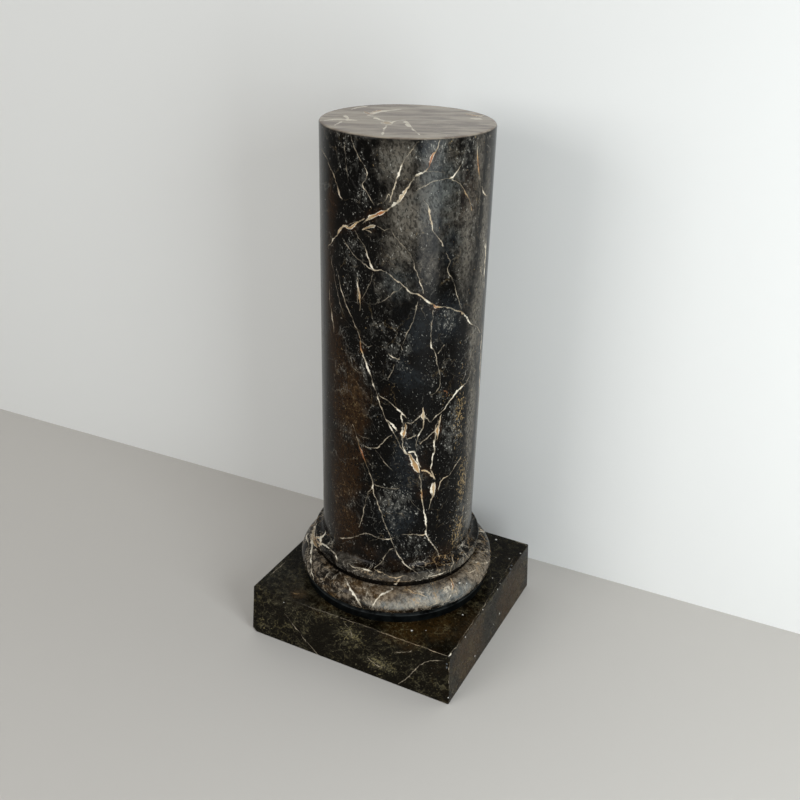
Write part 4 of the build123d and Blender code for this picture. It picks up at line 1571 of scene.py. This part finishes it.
def discMaterial():
    # a mottled black, paler here and there on the upper arris: partly wear, partly a painted highlight where
    # the arris catches the light
    paint = discPaint
    material, tree, surface = newMaterial("blackDiscPaint", paint["sheen"])
    place = objectPlace(tree)
    mottle = cloud(tree, place, *clouds["disc"]).outputs[0]
    colour = mixColour(tree, ease(tree, mottle, *paint["contrast"]), paint["dark"], paint["pale"])
    high = column["discTop"]
    # the paler upper arris: wear and a painted highlight
    arris = ease(tree, split(tree, place)[2], high - paint["wearAndHighlightStart"], high - paint["wearAndHighlightFull"])
    wearAndHighlight = times(tree, arris, ease(tree, mottle, *paint["wearAndHighlightMottle"]))
    colour = mixColour(tree, times(tree, wearAndHighlight, paint["wearAndHighlightCover"]), colour, paint["wearAndHighlight"])
    rough = scaled(tree, mottle, *paint["roughness"])
    finishSurface(tree, surface, colour, rough, mottle, *paint["relief"])
    return material


bareWood = {
    "dark": (0.30, 0.19, 0.10, 1),
    "pale": (0.55, 0.40, 0.24, 1),
    "contrast": (0.35, 0.65),
    "press": (1.0, 1.0, 0.12),
    "roughness": (0.2, 0.6),
    "relief": (0.5, 0.0003),
}


def bareWoodMaterial():
    # two wood tones mixed by a noise that is stretched upwards
    paint = bareWood
    material, tree, surface = newMaterial("bareSoftwood")
    stretched = squashed(tree, objectPlace(tree), (0, 0, 0), paint["press"])
    grain = cloud(tree, stretched, *clouds["softwood"]).outputs[0]
    colour = mixColour(tree, ease(tree, grain, *paint["contrast"]), paint["dark"], paint["pale"])
    rough = scaled(tree, grain, *paint["roughness"])
    finishSurface(tree, surface, colour, rough, grain, *paint["relief"])
    return material


screwSteel = {
    "dark": (0.42, 0.41, 0.38, 1),
    "pale": (0.66, 0.65, 0.62, 1),
    "roughness": (0.3, 0.25),
    "relief": (0.3, 0.0001),
}


def screwMaterial():
    # metal, its colour and roughness scuffed by one fine noise
    material, tree, surface = newMaterial("zincedSteel")
    scuff = cloud(tree, objectPlace(tree), *clouds["steel"]).outputs[0]
    colour = mixColour(tree, scuff, screwSteel["dark"], screwSteel["pale"])
    rough = scaled(tree, scuff, *screwSteel["roughness"])
    finishSurface(tree, surface, colour, rough, scuff, *screwSteel["relief"])
    surface.inputs["Metallic"].default_value = 1.0
    return material


shaftMarble = columnMaterial("shaftMarblePaint", {})
torusMarble = columnMaterial("mouldingMarblePaint", torusGround)
collarMarble = columnMaterial("collarMarblePaint", collarGround)
print("materials made")

turnedPieces = {
    "shaftSkin": ("shaft_tube", shaftOutline, shaftMarble),
    "topSkin": ("top_disc", topOutline, shaftMarble),
    "collarSkin": ("collar_moulding", collarOutline, collarMarble),
    "torusSkin": ("torus_moulding", torusOutline, torusMarble),
}


def paintMesh(mesh, channels):
    paintVeins(mesh, channels)
    paintAreas(mesh)
    layDots(mesh)
    print("piece painted:", mesh.name, len(mesh.vertices))


for name, (node, outline, material) in turnedPieces.items():
    mesh = turnedMesh(name, outline(), column["around"])
    paintMesh(mesh, columnChannels)
    placePiece(name, mesh, node, material)
placePiece("discSkin", turnedMesh("discSkin", discOutline(), column["discAround"]), "base_disc",
           discMaterial())

boardNodes = ("plinth_top_board", "plinth_front_board", "plinth_back_board", "plinth_left_board",
              "plinth_right_board")
skin = plinthMesh()
paintMesh(skin, plinthChannels)
placePiece("plinthSkin", skin, boardNodes, plinthMaterial())


def dressNode(node, material):
    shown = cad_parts[node]
    shown.data.materials.clear()
    shown.data.materials.append(material)


dressNode("plinth_corner_blocks", bareWoodMaterial())
dressNode("base_screws", screwMaterial())


# Floor, backdrop and lamps

studio = {
    "floorColour": (0.58, 0.555, 0.52, 1),
    "floorRough": 0.6,
    "floorReach": 6,
    "wallColour": (0.735, 0.735, 0.715, 1),
    "wallRough": 0.7,
    "wallReach": 5,
    "wallHeight": 4,
    "wallDistance": 0.2525,
    "wallTurn": 2.07,
    "sheen": 0.2,
    "worldColour": (0.45, 0.455, 0.455, 1),
}

lamps = {
    "softKey": {
        "place": (-1.25, -2.75, 1.45),
        "target": (0, 0, 0.5),
        "size": (1.5, 1.5),
        "power": 33,
        "colour": (1, 1, 1),
    },
    "tallWindow": {
        "place": (1.55, -0.99, 0.85),
        "target": (0, 0, 0.85),
        "size": (0.85, 1.65),
        "power": 28,
        "colour": (0.90, 0.96, 1.0),
    },
}


def plainMaterial(name, colour, rough):
    material, tree, surface = newMaterial(name, studio["sheen"])
    surface.inputs["Base Color"].default_value = colour
    surface.inputs["Roughness"].default_value = rough
    return material, tree, surface


def wallMaterial():
    # plain paint from the front, clear from behind, so that the column shows from every side
    material, tree, surface = plainMaterial("palePaint", studio["wallColour"], studio["wallRough"])
    clear = addNode(tree, "ShaderNodeBsdfTransparent")
    swap = addNode(tree, "ShaderNodeMixShader")
    feed(tree, swap.inputs[0], addNode(tree, "ShaderNodeNewGeometry").outputs["Backfacing"])
    feed(tree, swap.inputs[1], surface.outputs[0])
    feed(tree, swap.inputs[2], clear.outputs[0])
    output = next(node for node in tree.nodes if node.type == "OUTPUT_MATERIAL")
    feed(tree, output.inputs[0], swap.outputs[0])
    return material


def addPlane(name, corners, material):
    mesh = bpy.data.meshes.new(name)
    mesh.from_pydata([tuple(corner) for corner in corners], [], [(0, 1, 2, 3)])
    mesh.materials.append(material)
    return addObject(name, mesh)


def makeStage():
    reach = studio["floorReach"]
    corners = [(-reach, -reach, 0), (reach, -reach, 0), (reach, reach, 0), (-reach, reach, 0)]
    plaster = plainMaterial("palePlaster", studio["floorColour"], studio["floorRough"])[0]
    floor = addPlane("paleFloor", corners, plaster)
    turn = math.radians(studio["wallTurn"])
    side = np.array([math.cos(turn), math.sin(turn), 0.0]) * studio["wallReach"]
    middle = np.array([-math.sin(turn), math.cos(turn), 0.0]) * studio["wallDistance"]
    rise = np.array([0, 0, studio["wallHeight"]])
    corners = [middle - side, middle + side, middle + side + rise, middle - side + rise]
    wall = addPlane("paleWall", corners, wallMaterial())


def makeLamp(name, place, target, size, power, colour):
    data = bpy.data.lights.new(name, "AREA")
    data.shape = "RECTANGLE"
    data.size, data.size_y = size
    data.energy = power
    data.color = colour
    lamp = addObject(name, data)
    lamp.location = place
    lamp.rotation_euler = (Vector(target) - Vector(place)).to_track_quat("-Z", "Y").to_euler()


def makeWorld():
    world = bpy.data.worlds.new("studioWorld")
    world.use_nodes = True
    background = world.node_tree.nodes["Background"]
    background.inputs[0].default_value = studio["worldColour"]
    background.inputs[1].default_value = 1.0
    bpy.context.scene.world = world


makeStage()
makeWorld()
for name, lamp in lamps.items():
    makeLamp(name, **lamp)
print("stage and lamps made")

bpy.context.scene.view_settings.view_transform = "Standard"
